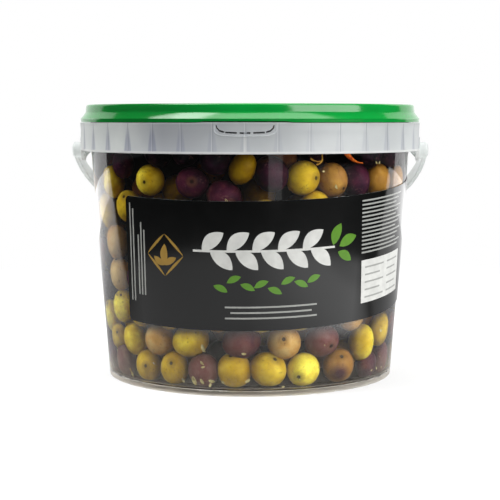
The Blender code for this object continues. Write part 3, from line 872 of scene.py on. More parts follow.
inks = {}
for ink, shapes in print_pieces.items():
    printed = join("print_" + ink, shapes)
    wrap(printed, PRINT_LIFT)
    thicken(printed, PRINT_THICK, outwards=True)
    inks[ink] = printed
print("print:", {ink: len(piece.data.polygons) for ink, piece in inks.items()})

# %% [markdown]
# ## The olives
#
# What shows in the photograph is a layer of olives pressed against the wall. Scattering them by chance
# would give another pail, so those that show are set one by one. The table gives each one's angle in
# degrees, its height, width and length in millimetres, its kind, and its shade from 0, pale, to 1,
# dark.

# %% The olives that show at the front
FRONT_OLIVES = [
    (-61, 114, 16, 19, "yellow", 0.22), (-52, 124, 15, 16, "purple", 0.64),
    (-38, 116, 17, 17, "yellow", 0.26), (-20, 115, 18, 17, "purple", 0.66),
    (-10, 127, 17, 17, "purple", 0.95), (-8, 108, 19, 17, "purple", 0.68),
    (-1, 123, 14, 18, "yellow", 0.98), (9, 120, 18, 20, "purple", 0.85),
    (21, 117, 18, 19, "yellow", 0.40), (34, 116, 17, 19, "tan", 0.58),
    (43.5, 116, 18, 20, "purple", 0.80), (50, 130, 18, 18, "purple", 0.90),
    (56.5, 115, 20, 19, "tan", 0.56), (-51, 101, 17, 18, "yellow", 0.30),
    (-68, 97, 17, 22, "yellow", 0.45), (-62, 80, 17, 20, "tan", 0.10),
    (-61, 62, 17, 19, "tan", 0.05), (-74, 36, 17, 19, "yellow", 0.10),
    (-65, 24, 15, 15, "yellow", 0.30), (-53, 26, 16, 18, "yellow", 0.18),
    (-38, 28, 18, 18, "tan", 0.05), (-23, 28, 21, 18, "yellow", 0.35),
    (-2, 28, 21, 19, "purple", 0.42), (15, 28, 18, 19, "tan", 0.12),
    (32, 28, 20, 18, "purple", 0.33), (46, 41, 17, 18, "tan", 0.15),
    (55, 22, 16, 21, "yellow", 0.12), (68, 29, 16, 20, "yellow", 0.30),
    (-62, 11, 15, 18, "purple", 0.25), (-45, 11, 16, 17, "yellow", 0.40),
    (-31, 12, 16, 18, "yellow", 0.42), (-17, 12, 17, 18, "purple", 0.30),
    (-5, 12, 18, 19, "yellow", 0.42), (9, 12, 20, 18, "yellow", 0.28),
    (24, 11, 18, 18, "yellow", 0.0), (41, 12, 19, 18, "tan", 0.45),
    (57, 9, 15, 15, "purple", 0.60), (70, 12, 16, 18, "purple", 0.35),
    (-47, 42.5, 16, 17, "yellow", 0.30), (-32, 42.5, 16, 17, "yellow", 0.30),
    (-11, 42.5, 17, 17, "tan", 0.30), (5.5, 42, 17, 17, "yellow", 0.12),
    (21, 42.5, 17, 17, "yellow", 0.30), (26, 103, 17, 17, "yellow", 0.45),
    (-77, 73, 15, 18, "purple", 0.50), (-76, 53, 15, 17, "purple", 0.75),
    (72, 114, 16, 18, "tan", 0.35),
]
print(len(FRONT_OLIVES), "olives set by hand")

# %% [markdown]
# The rest of the layer is laid in staggered rows. A physics simulation could pack it, but it would move
# the olives that are set. So all of them are settled by a short rule instead: where two overlap they
# push apart, while the wall and the base hold them in, and the ones at the front are drawn back to
# their places. Olives that the label hides altogether are left out.

# %% Lay and settle the olives
OLIVE_SEED = 11
OLIVE_SIZES = (15.5 * MM, 19.5 * MM)
OLIVE_LENGTHENING = (1.0, 1.16)
ROW_COUNT = 8
ROW_PITCH = 16.4 * MM
OLIVE_PITCH = 19.2 * MM
HEIGHT_SHIFT = 0.15
ROOM_SHARE = 0.38
SETTLE_STEPS = 80
PUSH = 0.4
PULL_BACK = 0.35
HEAP_TOP_Z = 141.0 * MM


def olives_apart(one, other):
    """True where two olives leave each other most of their room."""
    across = abs((one[0] - other[0] + math.pi) % math.tau - math.pi) * wall_inner(one[1])
    return math.hypot(across, one[1] - other[1]) > ROOM_SHARE * (one[2] + other[2])


def olive_places():
    """Angle, height, width and length of each olive against the wall, the front ones first."""
    draw = np.random.RandomState(OLIVE_SEED)
    front = [(math.radians(spot[0]), spot[1] * MM, spot[2] * MM, spot[3] * MM) for spot in FRONT_OLIVES]
    laid = list(front)
    for row in range(ROW_COUNT):
        height = OLIVE_SIZES[1] / 2 + FOOT_HEIGHT + row * ROW_PITCH
        radius = wall_inner(height) - OLIVE_SIZES[1] / 2
        count = int(math.tau * radius / OLIVE_PITCH)
        for number in range(count):
            angle = math.tau * (number + 0.5 * (row % 2)) / count
            angle = (angle + math.pi) % math.tau - math.pi
            width = draw.uniform(*OLIVE_SIZES)
            length = width * draw.uniform(*OLIVE_LENGTHENING)
            shift = draw.uniform(-HEIGHT_SHIFT, HEIGHT_SHIFT)
            spot = (angle, height + shift * OLIVE_PITCH, width, length)
            if all(olives_apart(spot, other) for other in front):
                laid.append(spot)
    return settle(laid, len(front))


def settle(laid, front_count):
    """Push overlapping olives apart against the wall, with the front ones drawn to their places."""
    half = np.array([(width + length) / 4 for _, _, width, length in laid])
    tall = np.array([max(width, length) / 2 for _, _, width, length in laid])
    angles = np.array([spot[0] for spot in laid])
    heights = np.array([spot[1] for spot in laid])
    floor_z = BASE_TOP + GAP + tall
    wanted = None
    for _ in range(SETTLE_STEPS):
        heights = np.clip(heights, floor_z, HEAP_TOP_Z - tall)
        radii = FOOT_RADIUS + WALL_SLOPE * np.minimum(heights, NECK_Z) - WALL_THICK - GAP - half
        spots = np.stack([radii * np.sin(angles), -radii * np.cos(angles), heights], axis=1)
        if wanted is None:
            wanted = spots[:front_count].copy()
        apart = spots[:, None] - spots[None]
        distance = np.linalg.norm(apart, axis=2) + np.eye(len(laid))
        overlap = np.maximum(half[:, None] + half[None] - distance, 0.0) * (1 - np.eye(len(laid)))
        spots += PUSH * (apart * (overlap / distance)[..., None]).sum(axis=1)
        spots[:front_count] += PULL_BACK * (wanted - spots[:front_count])
        angles = np.arctan2(spots[:, 0], -spots[:, 1])
        heights = spots[:, 2]
    heights = np.clip(heights, floor_z, HEAP_TOP_Z - tall)
    return [(angles[i], heights[i], laid[i][2], laid[i][3]) for i in range(len(laid))]


def behind_label(angle, height, reach):
    """True where the label hides an olive altogether."""
    low = LABEL_MID_Z - LABEL_HEIGHT / 2 + reach
    high = LABEL_MID_Z + LABEL_HEIGHT / 2 - reach
    side_reach = reach / wall_inner(height)
    return low < height < high and LABEL_START_ANGLE + side_reach < angle < LABEL_END_ANGLE - side_reach


places = olive_places()
print(len(places), "olives against the wall")

# %% [markdown]
# One olive is modelled and then copied: a sphere whose stem end is pushed in to a small pit, and whose
# other end is drawn out to a slight point. Real olives are longer than wide, so each copy is stretched
# to its own size. A copy also carries numbers for its skin: its shade, the place along its length, the
# place across it, and a spare one drawn by chance. The few that the photograph shows from near are
# fine, and the hundreds of others are plainer, so that the heap stays light.

# %% Model one olive
KINDS = ("yellow", "tan", "purple")
KIND_SHARES = (0.45, 0.25, 0.30)
PIT_RADIUS = 0.13
PIT_DEPTH = 0.10
POINT_LENGTH = 0.04


def select_where(piece, test):
    """In edit mode, select the vertices that pass a test."""
    bpy.ops.mesh.select_all(action="DESELECT")
    mesh = bmesh.from_edit_mesh(piece.data)
    for vert in mesh.verts:
        vert.select_set(test(vert.co))
    mesh.select_flush_mode()
    bmesh.update_edit_mesh(piece.data)


def model_olive(name, segments, rings):
    """A sphere with a pit and a slight point. The vertex in the pit is marked in its skin's numbers."""
    deselect()
    bpy.ops.mesh.primitive_uv_sphere_add(segments=segments, ring_count=rings, radius=1.0)
    fruit = name_it(name)
    cap = math.cos(1.2 * math.pi / rings)
    bpy.ops.object.mode_set(mode="EDIT")
    select_where(fruit, lambda place: place.z > cap)
    bpy.ops.mesh.inset(thickness=math.pi / rings - PIT_RADIUS)
    select_where(fruit, lambda place: place.z > 0.9999)
    bpy.ops.transform.translate(value=(0, 0, -PIT_DEPTH))
    select_where(fruit, lambda place: place.z < -0.9999)
    bpy.ops.transform.translate(value=(0, 0, -POINT_LENGTH))
    bpy.ops.object.mode_set(mode="OBJECT")
    smooth(fruit, 80)
    skin = fruit.data.color_attributes.new("skin", "FLOAT_COLOR", "POINT")
    for vert, value in zip(fruit.data.vertices, skin.data):
        in_pit = vert.co.xy.length < 0.01 and vert.co.z > 0
        value.color = (0.0, 1.0 if in_pit else (vert.co.z + 0.9) / 2, (vert.co.x + 1) / 2, 0.0)
    print(name, "has", len(fruit.data.polygons), "faces")
    return fruit


grades = {"front": model_olive("olive_front", 20, 14), "outer": model_olive("olive_outer", 12, 8),
          "inner": model_olive("olive_inner", 10, 6)}


# %% [markdown]
# Each olive of the first layer is a copy, stretched to its size, turned, and moved to its place on the
# wall. The table says which way the pits point that the photograph shows: sideways and up, with the
# viewer ahead. All other turns and kinds are drawn by chance from a fixed seed, so that every run gives
# the same pail. High up in front, where the photograph is dark in the skirt's shade, the fill-ins are
# made dark purple too, which paints that shade into them.

# %% Copy the olives to their places
def copy_at(piece, matrix):
    """A copy of a piece, with a mesh of its own, moved by a matrix."""
    twin = piece.copy()
    twin.data = piece.data.copy()
    twin.data.transform(matrix)
    bpy.context.scene.collection.objects.link(twin)
    return twin


def place_olive(grade, matrix, shade, chance):
    """A copy of an olive, stretched and moved by a matrix, with its own shade."""
    twin = copy_at(grades[grade], matrix)
    colours = np.empty(len(twin.data.vertices) * 4, dtype=np.float32)
    values = twin.data.color_attributes["skin"].data
    values.foreach_get("color", colours)
    colours[0::4] = shade
    colours[3::4] = chance
    values.foreach_set("color", colours)
    return twin


PIT_DIRECTIONS = {0: (-0.6, 0.3), 2: (0.1, -0.15), 3: (0.3, 0.1), 5: (0.75, -0.3), 8: (0.65, 0.3),
                  9: (0.3, -0.8), 18: (0.5, 0.6), 23: (-0.1, 0.35), 24: (0.15, -0.35), 25: (-0.6, 0.6),
                  29: (0.45, 0.1), 30: (0.15, 0.4), 35: (-0.6, 0.5), 34: (-0.7, -0.6)}
# Painted shade: fill-ins high up in front are made dark purple, where the skirt shades the heap.
SHADED_Z = 119 * MM
SHADED_ANGLE = 1.4
olives = {kind: [] for kind in KINDS}
outer_spots = []
draw_lean = np.random.RandomState(OLIVE_SEED + 1)
draw_kind = np.random.RandomState(OLIVE_SEED + 2)
for number, (angle, height, width, length) in enumerate(places):
    lean = draw_lean.uniform(-0.5, 0.5)
    kind = KINDS[draw_kind.choice(3, p=KIND_SHARES)]
    shade = draw_kind.uniform(0.0, 1.0)
    chance = draw_kind.uniform(0.0, 1.0)
    tilt, swing = draw_kind.uniform(-0.9, 0.9), draw_kind.uniform(0, math.tau)
    if number < len(FRONT_OLIVES):
        kind, shade = FRONT_OLIVES[number][4:]
    elif height > SHADED_Z and abs(angle) < SHADED_ANGLE:
        kind, shade = "purple", 0.8 + 0.2 * shade
    if behind_label(angle, height, length / 2):
        continue
    half = (width + length) / 4
    radius = wall_inner(height) - GAP - half
    place = at_angle(math.degrees(angle), radius, height)
    stretch = Matrix.Diagonal((width / 2, half, length / 2, 1.0))
    if number in PIT_DIRECTIONS:
        side, up = PIT_DIRECTIONS[number]
        pit = Vector((side, -1.0, up)).to_track_quat("Z", "Y").to_matrix().to_4x4()
    else:
        pit = Matrix.Rotation(tilt, 4, "X") @ Matrix.Rotation(swing, 4, "Z")
    lean_turn = Matrix.Rotation(lean, 4, "Y")
    grade = "front" if number < len(FRONT_OLIVES) else "outer"
    olives[kind].append(place_olive(grade, place @ lean_turn @ stretch @ pit, shade, chance))
    outer_spots.append((*place.translation, half))
print({kind: len(made) for kind, made in olives.items()})

# %% [markdown]
# Behind the gaps in the first layer lies a second one. Each of its olives starts near the wall and
# moves inwards until it clears all of the first layer, as it would when shaken down. The table gives
# the ones that show in the photograph: angle, height and size, kind and shade.

# %% Nest a second layer
BEHIND_OLIVES = [
    (-30, 110, 18, "yellow", 0.75), (-49, 111, 15, "tan", 0.90), (-15, 122, 15, "tan", 0.95),
    (5, 109, 18, "yellow", 0.80), (15, 128, 16, "tan", 1.00), (27, 129, 15, "purple", 0.92),
    (66, 116, 16, "tan", 0.60), (40, 106, 16, "tan", 0.80), (-66, 110, 15, "purple", 0.80),
    (63, 40, 17, "tan", 0.50), (-12, 21, 16, "purple", 0.90), (38, 20, 16, "tan", 1.00),
]
INNER_PITCH = 18.5 * MM
INNER_STEP = 0.5 * MM
INNER_START = 11.0 * MM
INNER_LIMIT = 30 * MM
INNER_SHARE = 0.46
INNER_LENGTH = 0.54
INNER_RING = 24 * MM
ROUGH_DEPTH = 20 * MM
CLEARANCE = 13 * MM
outer = np.array(outer_spots)
inner_spots = []


def nest(angle, height, size, kind, shade, chance, tilt, swing):
    """Move an olive inwards from the wall until it clears the first layer, and place it there."""
    depth = INNER_START
    while depth < INNER_LIMIT:
        spot = at_angle(math.degrees(angle), wall_inner(height) - depth, height)
        gaps = np.linalg.norm(outer[:, :3] - np.array(spot.translation), axis=1) - outer[:, 3]
        if gaps.min() > INNER_SHARE * size:
            break
        depth += INNER_STEP
    stretch = Matrix.Diagonal((size / 2, size / 2, size * INNER_LENGTH, 1.0))
    turn_it = Matrix.Rotation(swing, 4, "Y") @ Matrix.Rotation(tilt, 4, "X")
    olives[kind].append(place_olive("inner", spot @ turn_it @ stretch, shade, chance))
    inner_spots.append(spot.translation)


for angle, height, size, kind, shade in BEHIND_OLIVES:
    nest(math.radians(angle), height * MM, size * MM, kind, shade, 0.5, 0.8, 2.5)
for row in range(ROW_COUNT - 1):
    row_height = BASE_TOP + (row + 0.95) * ROW_PITCH
    count = int(math.tau * (wall_inner(row_height) - INNER_RING) / INNER_PITCH)
    for number in range(count):
        angle = math.tau * (number + 0.5 * (row % 2)) / count - math.pi
        size = draw_kind.uniform(15.5, 18.5) * MM
        height = row_height + draw_kind.uniform(-2, 2) * MM
        kind = KINDS[draw_kind.choice(3, p=KIND_SHARES)]
        shade, chance = draw_kind.uniform(0.2, 0.9), draw_kind.uniform(0, 1)
        tilt, swing = draw_kind.uniform(-1.2, 1.2), draw_kind.uniform(0, math.tau)
        rough = at_angle(math.degrees(angle), wall_inner(height) - ROUGH_DEPTH, height).translation
        taken = [(rough - other).length < CLEARANCE for other in inner_spots[:len(BEHIND_OLIVES)]]
        if behind_label(angle, height, size) or any(taken):
            continue
        nest(angle, height, size, kind, shade, chance, tilt, swing)
print(len(inner_spots), "olives in the second layer")

# %% [markdown]
# Each kind has its own skin, so the copies are joined into one piece for each kind. The numbers that
# each copy carries stay with it, and the skin reads them from there.

# %% Join the olives of each kind
def remove_all(pieces):
    """Take pieces that are no longer needed out of the scene."""
    for piece in pieces:
        bpy.data.objects.remove(piece)


remove_all(list(grades.values()))
olive_pieces = {kind: join("olives_" + kind, made) for kind, made in olives.items()}
print({kind: len(piece.data.polygons) for kind, piece in olive_pieces.items()}, "faces")

# %% [markdown]
# The middle of the pail never shows. It could be filled with more olives, but one plain turned body
# inside both layers looks the same through the gaps, and weighs nothing.

# %% Model the core of the heap
CORE_DEPTH = 27.0 * MM
CORE_HUB = 8.0 * MM
CORE_TOP_Z = 133.0 * MM
CORE_BOTTOM_Z = 5.0 * MM
CORE_ROUNDING = 6.0 * MM
CORE_SIDES = 48

core_radius = {height: wall_inner(height * MM) - CORE_DEPTH for height in (10, 60, 120)}
core_outline = [(CORE_HUB, CORE_TOP_Z)]
core_outline += arc(core_radius[120] - CORE_ROUNDING, CORE_TOP_Z - CORE_ROUNDING, CORE_ROUNDING, 90, 0)
core_outline += [(core_radius[60], 60 * MM), (core_radius[10], 10 * MM),
                 (core_radius[10] - 3 * MM, CORE_BOTTOM_Z), (CORE_HUB, CORE_BOTTOM_Z)]
core = turn("heap_core", core_outline, sides=CORE_SIDES)
print("core radius", round(core_radius[60] / MM, 1), "mm")

# %% [markdown]
# ## The brine
#
# The brine fills the pail nearly to the lid. It is one closed body, turned like the wall, and it
# reaches 0.1 mm into the wall, because a film of air between a liquid and the plastic round it would
# mirror and look false.

# %% Model the brine
BRINE_TOP_Z = 143.0 * MM
BRINE_REACH = 0.1 * MM
brine_bottom_z = BASE_TOP - BRINE_REACH
brine_outline = [(HUB_RADIUS, brine_bottom_z)]
brine_outline += arc(wall_inner(BASE_TOP + CORNER) + BRINE_REACH - CORNER, brine_bottom_z + CORNER,
                     CORNER, -90, -4)
brine_outline += [(wall_inner(z * MM) + BRINE_REACH, z * MM) for z in WALL_RINGS]
brine_outline += [(wall_inner(NECK_Z) + BRINE_REACH, BRINE_TOP_Z), (HUB_RADIUS, BRINE_TOP_Z)]
brine = turn("brine", brine_outline, sides=CLEAR_SIDES)
print("brine is", round(BRINE_TOP_Z / MM), "mm high")

# %% [markdown]
# ## Herbs
#
# Soaked herb flakes float between the olives and the wall. A particle system could scatter them, but
# the ones in front have their places. So one flake is modelled as a small leaf with a fold down its
# middle, and copied. A flake has a few faces only, because there are many.

# %% Model one flake
FLAKE_THICK = 0.22 * MM
HERB_DEPTH = 0.5 * MM

deselect()
bpy.ops.mesh.primitive_grid_add(x_subdivisions=4, y_subdivisions=2, size=1.0)
flake = name_it("flake")
for vert in flake.data.vertices:
    taper = 1.0 - 0.75 * abs(vert.co.x * 2) ** 1.6
    fold = abs(vert.co.y)
    bend = vert.co.x ** 2
    vert.co = (vert.co.x, vert.co.y * 0.46 * taper + 0.3 * bend, 0.3 * fold + 0.4 * bend)
flake.data.transform(Matrix.Rotation(math.pi / 2, 4, "X"))
print("one flake has", len(flake.data.polygons), "faces")

# %% [markdown]
# The flakes that show in the photograph are placed one by one: the table gives angle, height, length
# and spin. A few more are scattered by chance round the rest of the pail, where no label hides them.

# %% Place the flakes
FRONT_FLAKES = [
    (32.0, 112.7, 2.6, 60), (50.3, 124.9, 1.8, 30), (52.1, 124.8, 1.6, -40), (-58.9, 50.0, 1.6, 20),
    (-16.1, 26.0, 4.2, 75), (-0.8, 23.4, 2.4, 5), (-16.7, 17.7, 2.4, 50), (-16.3, 15.5, 2.0, -20),
    (-20.1, 7.9, 5.0, 70), (-16.9, 7.7, 3.0, 60), (-13.1, 8.0, 3.2, 10), (-13.6, 5.8, 2.2, -70),
    (-8.7, 7.7, 1.8, 40), (0.6, 8.6, 2.8, -30), (-38.0, 15.0, 1.4, 45), (30.5, 26.5, 1.3, 10),
    (61.0, 8.5, 2.2, 35), (57.0, 8.0, 1.8, -15), (26.8, 121.0, 1.6, 0), (-6.5, 106.0, 2.0, 60),
]
SCATTERED_FLAKES = 70
FLAKE_SIZES = (1.2 * MM, 3.2 * MM)
FLAKE_HEIGHTS = (6, 128)
FLAKE_TIP = 0.25
FLAKE_REACH = 0.18
CLEAR_HALF_ANGLE = 62
CLEAR_FROM_Z = 8 * MM
draw_flake = np.random.RandomState(OLIVE_SEED + 3)


def place_flake(angle, height, length, spin, tip):
    """A flake against the inside of the wall: spun in its plane, and tipped a little off the wall."""
    where = at_angle(angle, wall_inner(height) - HERB_DEPTH - FLAKE_REACH * length, height)
    turned = Matrix.Rotation(math.radians(spin), 4, "Y") @ Matrix.Rotation(tip, 4, "Z")
    return copy_at(flake, where @ turned @ Matrix.Scale(length, 4))


flakes = [place_flake(angle, height * MM, length * MM, spin, FLAKE_TIP)
          for angle, height, length, spin in FRONT_FLAKES]
while len(flakes) < len(FRONT_FLAKES) + SCATTERED_FLAKES:
    angle = draw_flake.uniform(-180, 180)
    height = draw_flake.uniform(*FLAKE_HEIGHTS) * MM * draw_flake.uniform(0.3, 1.0)
    length = draw_flake.uniform(*FLAKE_SIZES)
    spin, tip = draw_flake.uniform(0, 180), draw_flake.uniform(-0.5, 0.5)
    in_front = abs(angle) < CLEAR_HALF_ANGLE and height > CLEAR_FROM_Z
    if not in_front and not behind_label(math.radians(angle), height, length):
        flakes.append(place_flake(angle, height, length, spin, tip))
remove_all([flake])
herbs = join("herb_flakes", flakes)
thicken(herbs, FLAKE_THICK)
smooth(herbs, 50)
print(len(flakes), "flakes")

# %% [markdown]
# Bent herb stalks show near the top. Each is a curve through a few points on the wall with a round
# bevel, thicker at its ends, which is the quickest way to a thin bent rod.

# %% Bend the stalks
STALK_RADIUS = 0.38 * MM
STALK_DEPTH = 1.0 * MM
STALK_RUNS = [
    [(26.2, 131.6), (26.1, 129.4), (26.3, 127.6), (26.0, 126.2)],
    [(26.1, 126.4), (24.6, 126.2), (23.0, 126.9), (22.0, 127.9)],
    [(26.0, 126.2), (25.4, 125.2), (24.2, 124.6)],
    [(-52.8, 9.5), (-52.2, 7.6), (-51.6, 6.4)],
]


def on_wall(angle, height, depth=HERB_DEPTH):
    """A point just inside the wall, from an angle in degrees and a height in millimetres."""
    return at_angle(angle, wall_inner(height * MM) - depth, height * MM).translation


def stalk(name, run):
    """A thin round stalk through points on the wall, thicker at its knots."""
    curve = new_curve(name, [on_wall(*spot, depth=STALK_DEPTH) for spot in run], closed=False)
    for number, spot in enumerate(curve.data.splines[0].points):
        spot.radius = 1.25 if number in (0, len(run) - 1) else 0.85
    curve.data.bevel_depth = STALK_RADIUS
    curve.data.bevel_resolution = 2
    curve.data.use_fill_caps = True
    return to_mesh(curve)


stalks = join("herb_stalks", [stalk("stalk", run) for run in STALK_RUNS])
smooth(stalks, 60)
print(len(stalks.data.polygons), "faces in the stalks")

# %% [markdown]
# One strip of orange pepper hangs near the top, wide at its upper end and curled across. It is a grid
# whose points are laid along a run of places on the wall, so its width and curl are easy to set. The
# table gives the angle, height and width along it.

# %% Shape the strip of pepper
PEPPER_RUN = [(35.6, 131.2, 3.4), (36.6, 129.6, 3.0), (37.9, 127.9, 2.1), (39.4, 126.5, 1.4),
              (41.2, 125.4, 1.0), (43.4, 125.0, 0.5)]
PEPPER_THICK = 0.5 * MM
PEPPER_CURL = 1.0 * MM
PEPPER_DEPTH = HERB_DEPTH + 1.2 * MM
PEPPER_LEAN = Vector((0.55, 0.0, 0.83))
pepper_runs = len(PEPPER_RUN) - 1

deselect()
bpy.ops.mesh.primitive_grid_add(x_subdivisions=pepper_runs * 3, y_subdivisions=4, size=1.0)
pepper = name_it("pepper_strip")
for vert in pepper.data.vertices:
    share = (vert.co.x + 0.5) * pepper_runs
    index = min(int(share), pepper_runs - 1)
    pair = zip(PEPPER_RUN[index], PEPPER_RUN[index + 1])
    angle, height, width = [a + (b - a) * (share - index) for a, b in pair]
    curl = PEPPER_CURL * (1 - (2 * vert.co.y) ** 2)
    spot = on_wall(angle, height, depth=PEPPER_DEPTH - curl)
    vert.co = spot + PEPPER_LEAN * (vert.co.y * width * MM)
thicken(pepper, PEPPER_THICK)
smooth(pepper, 60)
print(len(pepper.data.polygons), "faces in the pepper strip")

# %% [markdown]
# ## Materials
#
# All finishes are procedural, because a picture texture would have to be carried along. Setting every
# node and link by hand takes many lines. So a short class adds a node and sets its sockets by name,
# and each finish reads as a list of what it is made of. Colours are given as the 8-bit values that a
# colour picker shows.


# %% Tools for materials
def tint(red, green, blue):
    """A colour picker's 8-bit colour as the linear values that shaders use."""
    linear = [(c / 255 / 12.92) if c < 10.3 else ((c / 255 + 0.055) / 1.055) ** 2.4
              for c in (red, green, blue)]
    return (*linear, 1.0)


class Finish:
    """A material in the making: adds nodes, sets sockets and links them."""

    def __init__(self, name):
        self.material = bpy.data.materials.new(name)
        self.material.use_nodes = True
        self.nodes = self.material.node_tree.nodes
        self.links = self.material.node_tree.links
        self.nodes.clear()
        self.output = self.nodes.new("ShaderNodeOutputMaterial")

    def add(self, kind, **values):
        """Add a node. A value that is a socket is linked, any other is set."""
        node = self.nodes.new("ShaderNode" + kind)
        for key, value in values.items():
            socket = node.inputs[int(key[1:])] if key[0] == "i" and key[1:].isdigit() \
                else node.inputs[key.replace("_", " ")]
            if isinstance(value, bpy.types.NodeSocket):
                self.links.new(value, socket)
            else:
                socket.default_value = value
        return node

    def place(self):
        """Object coordinates, in metres."""
        return self.add("TexCoord").outputs["Object"]

    def noise(self, scale, detail=2.0, vector=None):
        """Soft noise from 0 to 1 with features of about 1/scale metres."""
        return self.add("TexNoise", Vector=vector or self.place(), Scale=scale,
                        Detail=detail).outputs["Fac"]

    def math(self, operation, first, second=0.0, third=0.0):
        """One sum or product."""
        node = self.add("Math", i0=first, i1=second, i2=third)
        node.operation = operation
        return node.outputs[0]

    def ramp(self, value, stops):
        """A colour ramp through (position, colour) stops."""
        node = self.add("ValToRGB", Fac=value)
        ramp = node.color_ramp
        while len(ramp.elements) < len(stops):
            ramp.elements.new(0.5)
        for element, (position, colour) in zip(ramp.elements, stops):
            element.position = position
            element.color = colour
        return node.outputs["Color"]

    def levels(self, value, stops):
        """Levels from 0 to 1 through (position, level) stops."""
        return self.ramp(value, [(position, (level, level, level, 1.0)) for position, level in stops])

    def blend(self, factor, first, second):
        """Mix two colours."""
        node = self.nodes.new("ShaderNodeMix")
        node.data_type = "RGBA"
        sockets = {"Factor": node.inputs[0], "A": node.inputs[6], "B": node.inputs[7]}
        for socket, value in zip(sockets.values(), (factor, first, second)):
            if isinstance(value, bpy.types.NodeSocket):
                self.links.new(value, socket)
            else:
                socket.default_value = value
        return node.outputs[2]

    def bump(self, height, strength, distance=0.2 * MM):
        """A bump from a height."""
        return self.add("Bump", Height=height, Strength=strength, Distance=distance).outputs["Normal"]

    def mix(self, factor, first, second):
        """Mix two shaders."""
        return self.add("MixShader", Fac=factor, i1=first, i2=second).outputs[0]

    def finish(self, shader, *pieces):
        """Link the shader and put the material on the pieces."""
        self.links.new(shader, self.output.inputs["Surface"])
        for piece in pieces:
            piece.data.materials.clear()
            piece.data.materials.append(self.material)


# %% [markdown]
# The wall is clear polypropylene with the slightest haze. Light that passes two or more clear bodies
# takes very long to trace as it bends, so for shadow rays the wall is a plain pale filter. The same is
# done for the brine and the milky plastic.

# %% Clear plastic
clear = Finish("clear_plastic")
haze_noise = clear.noise(120.0)
clear_rough = clear.math("MULTIPLY_ADD", haze_noise, 0.006, 0.0)
clear_shader = clear.add("BsdfPrincipled", Base_Color=(0.97, 0.98, 0.98, 1.0), Roughness=clear_rough,
                         IOR=1.49, Transmission_Weight=1.0)
clear_pass = clear.add("BsdfTransparent", Color=(0.94, 0.94, 0.94, 1.0))
shadow = clear.add("LightPath").outputs["Is Shadow Ray"]
clear.finish(clear.mix(shadow, clear_shader.outputs[0], clear_pass.outputs[0]), wall)
print(len(clear.nodes), "nodes in the clear plastic")

# %% [markdown]
# The brine bends light as water does. Its brown tinge grows with the depth that light has to cross,
# which a surface colour could not do, so it is a volume that absorbs light.

# %% Brine
liquid = Finish("brine")
liquid_shader = liquid.add("BsdfPrincipled", Base_Color=(1.0, 1.0, 1.0, 1.0), Roughness=0.0, IOR=1.333,
                           Transmission_Weight=1.0)
liquid_pass = liquid.add("BsdfTransparent", Color=(0.98, 0.98, 0.98, 1.0))
shadow = liquid.add("LightPath").outputs["Is Shadow Ray"]
liquid.finish(liquid.mix(shadow, liquid_shader.outputs[0], liquid_pass.outputs[0]), brine)
liquid_body = liquid.add("VolumeAbsorption", Color=(0.60, 0.50, 0.40, 1.0), Density=90.0)
liquid.links.new(liquid_body.outputs[0], liquid.output.inputs["Volume"])
print(len(liquid.nodes), "nodes in the brine")

# %% [markdown]
# The skirt is the same plastic as the wall, but left milky, so it glows where light comes through. Its
# ribs stand behind it, and light and shade are painted into its colour. Each rib shows as a fine upright
# line with a painted dark side and a painted highlight. Beside each rib lies a cool painted shade where
# the dark heap shows through. The shade is an arch: wide at the bottom and gone near the top. The middle
# of the front is painted dimmer, and the thick front rib and the bead at the bottom carry painted
# highlights. All of this follows the angle round the pail, so the colour is worked out from the angle and
# the height.

# %% Milky plastic
RIB_TURN = 36 / math.tau
SKIRT_TALL = FLANGE_TOP_Z - SKIRT_BOTTOM_Z


def milky_finish(name, colour_of, clear_share):
    """Milky plastic. The colour is made by a function of the finish."""
    milky = Finish(name)
    bump = milky.bump(milky.noise(500.0, 3.0), 0.12)
    colour = colour_of(milky)
    cloudy = milky.add("BsdfPrincipled", Base_Color=colour, Roughness=0.3, IOR=1.49, Normal=bump)
    glow = milky.add("BsdfTranslucent", Color=colour)
    cloud = milky.mix(0.5, cloudy.outputs[0], glow.outputs[0])
    see_through = milky.add("BsdfPrincipled", Base_Color=tint(244, 247, 248), Roughness=0.12, IOR=1.49,
                            Transmission_Weight=1.0, Normal=bump)
    look = milky.mix(clear_share, cloud, see_through.outputs[0])
    lamp_pass = milky.add("BsdfTransparent", Color=(0.5, 0.5, 0.5, 1.0))
    shadow = milky.add("LightPath").outputs["Is Shadow Ray"]
    milky.finish(milky.mix(shadow, look, lamp_pass.outputs[0]))
    return milky


def plain_milky(milky):
    """The soft mottling of milky plastic."""
    return milky.ramp(milky.noise(70.0), [(0.3, tint(240, 243, 242)), (0.7, tint(248, 251, 249))])


